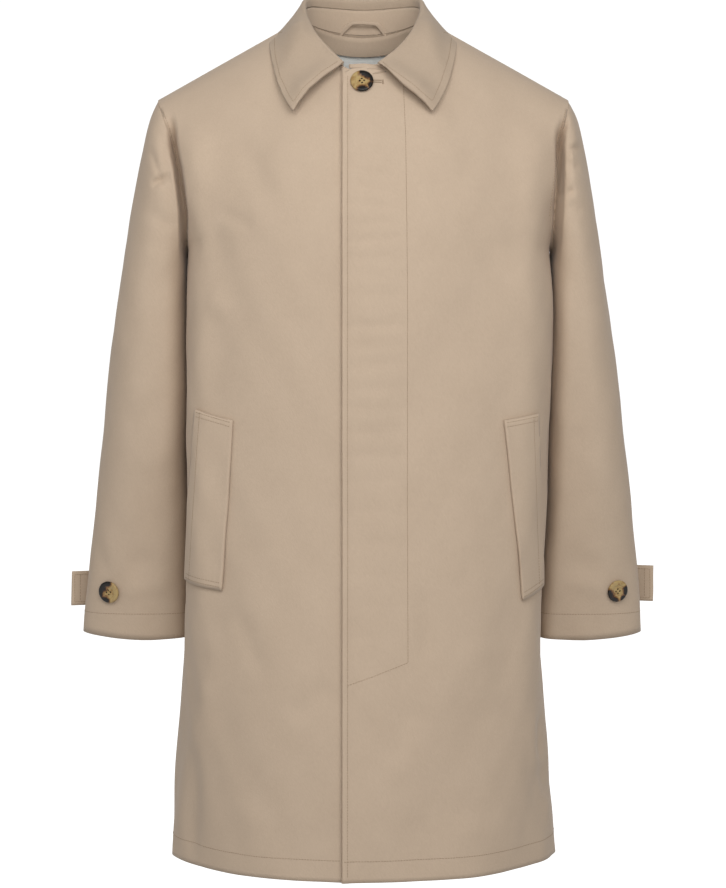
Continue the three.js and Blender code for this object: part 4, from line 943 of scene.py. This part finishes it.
def turned_button(name, node, patches, shift):
    """Turns a finely shaped button in the place of a packed one."""
    packed = points_of(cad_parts[node].data)
    middle = (packed.min(0) + packed.max(0)) / 2
    spread = np.linalg.eigh(np.cov((packed - middle).T))[1]
    out = spread[:, 0] * (1.0 if spread[1, 0] < 0 else -1.0)
    up = np.array((0.0, 0.0, 1.0)) - out * out[2]
    up /= np.linalg.norm(up)
    right = np.cross(up, out)
    middle = middle + (right * shift[0] + up * shift[1]) * MM
    flat = (packed - middle) @ np.stack([right, up], 1)
    radius = np.linalg.norm(flat - flat.mean(0), axis=1).max()
    high = ((packed - middle) @ out).max()
    holes = [(HOLES_OUT * MM * math.cos(turn), HOLES_OUT * MM * math.sin(turn))
             for turn in (math.pi / 2 * quarter + 0.10 for quarter in range(4))]
    points, faces = [tuple(middle + out * (high - DISH_DEEP * MM))], []
    in_holes = []
    for ring in range(1, BUTTON_RINGS + 1):
        share = ring / BUTTON_RINGS
        climb = min(1.0, max(0.0, (share - DISH_SHARE) / (RIM_SHARE - DISH_SHARE)))
        height = high - DISH_DEEP * MM * (1 - climb * climb * (3 - 2 * climb))
        if share > ROUND_SHARE:
            height -= high * 0.9 * (1 - math.sqrt(max(0.0, 1 - ((share - ROUND_SHARE) / (1 - ROUND_SHARE)) ** 2)))
        for spoke in range(BUTTON_SPOKES):
            turn = 2 * math.pi * spoke / BUTTON_SPOKES
            x, y = radius * share * math.cos(turn), radius * share * math.sin(turn)
            nearest = min(math.hypot(x - a, y - b) for a, b in holes) / (HOLE_RADIUS * MM)
            sink = min(1.0, max(0.0, (1.12 - nearest) / 0.30))
            sunk = height - HOLE_DEEP * MM * sink * sink * (3 - 2 * sink)
            points.append(tuple(middle + right * x + up * y + out * sunk))
    for share, height in ((0.985, -0.45), (0.93, -1.0)):
        for spoke in range(BUTTON_SPOKES):
            turn = 2 * math.pi * spoke / BUTTON_SPOKES
            flat_place = right * math.cos(turn) + up * math.sin(turn)
            points.append(tuple(middle + flat_place * radius * share + out * high * height))
    for spoke in range(BUTTON_SPOKES):
        following = (spoke + 1) % BUTTON_SPOKES
        faces.append((0, 1 + spoke, 1 + following))
        in_holes.append(0)
        for ring in range(BUTTON_RINGS + 1):
            low = 1 + ring * BUTTON_SPOKES
            faces.append((low + spoke, low + BUTTON_SPOKES + spoke, low + BUTTON_SPOKES + following, low + following))
            place = (np.array(points[low + spoke]) + np.array(points[low + BUTTON_SPOKES + following])) / 2 - middle
            away = min(math.hypot(place @ right - a, place @ up - b) for a, b in holes)
            in_holes.append(1 if away < HOLE_RADIUS * MM * 0.96 else 0)
    last = 1 + (BUTTON_RINGS + 1) * BUTTON_SPOKES
    faces.append(tuple(last + spoke for spoke in reversed(range(BUTTON_SPOKES))))
    in_holes.append(0)
    mesh = bpy.data.meshes.new(name)
    mesh.from_pydata(points, [], faces)
    mesh.polygons.foreach_set("use_smooth", [True] * len(mesh.polygons))
    mesh.set_sharp_from_angle(angle=math.radians(50))
    mesh.materials.append(casein("tortoiseshell_casein_" + patches, TORTOISESHELL, DARK_PATCHES[patches]))
    mesh.materials.append(painted_hole_shade)
    # Faces inside the holes take the painted hole shade.
    mesh.polygons.foreach_set("material_index", in_holes)
    piece = bpy.data.objects.new(name, mesh)
    bpy.context.collection.objects.link(piece)
    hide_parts(node)
    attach(piece, "root")
    return piece


turned_button("neck_button_disc", "button_neck", "neck", NECK_BUTTON_SHIFT)
turned_button("cuff_button_disc_left", "button_cuff_left", "cuff_left", LEFT_BUTTON_SHIFT)
turned_button("cuff_button_disc_right", "button_cuff_right", "cuff_right", RIGHT_BUTTON_SHIFT)

# The neck buttonhole shows beside its button, worked with close stitches and barred at its end.
HOLE_Z, HOLE_FROM, HOLE_TO = -76.4, 9.0, 22.0
HOLE_HALF, BAR_HALF = 1.15, 3.0
hole_rows = []
for offset in (-HOLE_HALF, HOLE_HALF):
    line = [(HOLE_FROM, HOLE_Z + offset), (HOLE_TO, HOLE_Z + offset)]
    hole_rows += satin(laid(front_skins["left"], from_side(line)), 1.7)
bar = [(HOLE_TO + 0.6, HOLE_Z - BAR_HALF), (HOLE_TO + 0.6, HOLE_Z + BAR_HALF)]
hole_rows += satin(laid(front_skins["left"], from_side(bar)), 1.8)
sewn("buttonhole_sewing", hole_rows, 0.55)

# The layers of the stand's end lie over each other beside the button, as strands of the darker cloth: partly their
# real edges, partly painted shade along them.
LAYER_EDGES = (((5.0, -61.8), (24.0, -61.8)), ((11.0, -67.6), (27.0, -64.4)))
LAYER_THICK = 2.4
layer_rows = []
for edge in LAYER_EDGES:
    for run in laid(front_skins["left"], from_side(edge)):
        layer_rows.append((run[0][0], run[-1][0], run[len(run) // 2][1]))
layers = sewn("stand_end_layers", layer_rows, LAYER_THICK)
# The layers take the darker cloth, painted shade at their edges.
layers.data.materials[0] = painted_shade_cloth


# Studio. A pale floor far below the hem, and soft light from above and in
# front, a little stronger on the wearer's left.
floor_mesh = bpy.data.meshes.new("studio_floor")
FLOOR_Z = -1.55
FLOOR_REACH = 14.0
floor_mesh.from_pydata(
    [(-FLOOR_REACH, -FLOOR_REACH, FLOOR_Z), (FLOOR_REACH, -FLOOR_REACH, FLOOR_Z),
     (FLOOR_REACH, FLOOR_REACH, FLOOR_Z), (-FLOOR_REACH, FLOOR_REACH, FLOOR_Z)], [], [(0, 1, 2, 3)])
studio_floor = bpy.data.objects.new("studio_floor", floor_mesh)
bpy.context.collection.objects.link(studio_floor)
floor_paint = bpy.data.materials.new("white_floor_paint")
floor_paint.use_nodes = True
paint = floor_paint.node_tree.nodes["Principled BSDF"]
paint.inputs["Base Color"].default_value = (0.9, 0.9, 0.9, 1.0)
paint.inputs["Roughness"].default_value = 0.9
paint.inputs["Emission Color"].default_value = (1.0, 1.0, 1.0, 1.0)
paint.inputs["Emission Strength"].default_value = 0.8
floor_mesh.materials.append(floor_paint)
studio_floor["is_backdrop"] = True
studio_floor.visible_diffuse = False

LAMP_COLUMNS = ("name", "place", "aim", "width", "height", "watts")
LAMPS = (
    ("right_front_box", (1.3, -2.9, 0.50), (0.0, 0.0, -0.35), 1.2, 1.2, 19.0),
    ("left_front_box", (-1.3, -2.9, 0.50), (0.0, 0.0, -0.35), 1.2, 1.2, 8.0),
    ("middle_front_box", (0.2, -3.3, -0.25), (0.0, 0.0, -0.30), 0.5, 0.5, 9.0),
    ("high_front_box", (0.0, -1.7, 0.75), (0.0, 0.0, -0.25), 1.4, 0.8, 17.0),
    ("left_side_box", (-2.3, -1.6, 0.9), (0.0, 0.0, -0.45), 0.9, 1.5, 5.0),
)
for row in LAMPS:
    lamp = dict(zip(LAMP_COLUMNS, row))
    data = bpy.data.lights.new(lamp["name"], "AREA")
    data.shape = "RECTANGLE"
    data.size, data.size_y = lamp["width"], lamp["height"]
    data.energy = lamp["watts"]
    box = bpy.data.objects.new(lamp["name"], data)
    box.location = lamp["place"]
    box.rotation_mode = "QUATERNION"
    box.rotation_quaternion = (Vector(lamp["aim"]) - Vector(lamp["place"])).to_track_quat("-Z", "Y")
    bpy.context.collection.objects.link(box)

world = bpy.data.worlds.new("studio_air")
world.use_nodes = True
air = world.node_tree
air.nodes.clear()
seen_air = add(air, "Background", Color=(1.0, 1.0, 1.0, 1.0), Strength=1.05)
lit_air = add(air, "Background", Color=(1.0, 0.99, 0.975, 1.0), Strength=0.42)
sight = add(air, "LightPath")
both = add(air, "MixShader", n0=sight.outputs["Is Camera Ray"], n1=lit_air.outputs[0], n2=seen_air.outputs[0])
add(air, "OutputWorld", Surface=both.outputs[0])
bpy.context.scene.world = world
bpy.context.scene.view_settings.view_transform = "Standard"


# Bounds of the objects shown, the floor left out.
bpy.context.view_layer.update()
low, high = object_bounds()
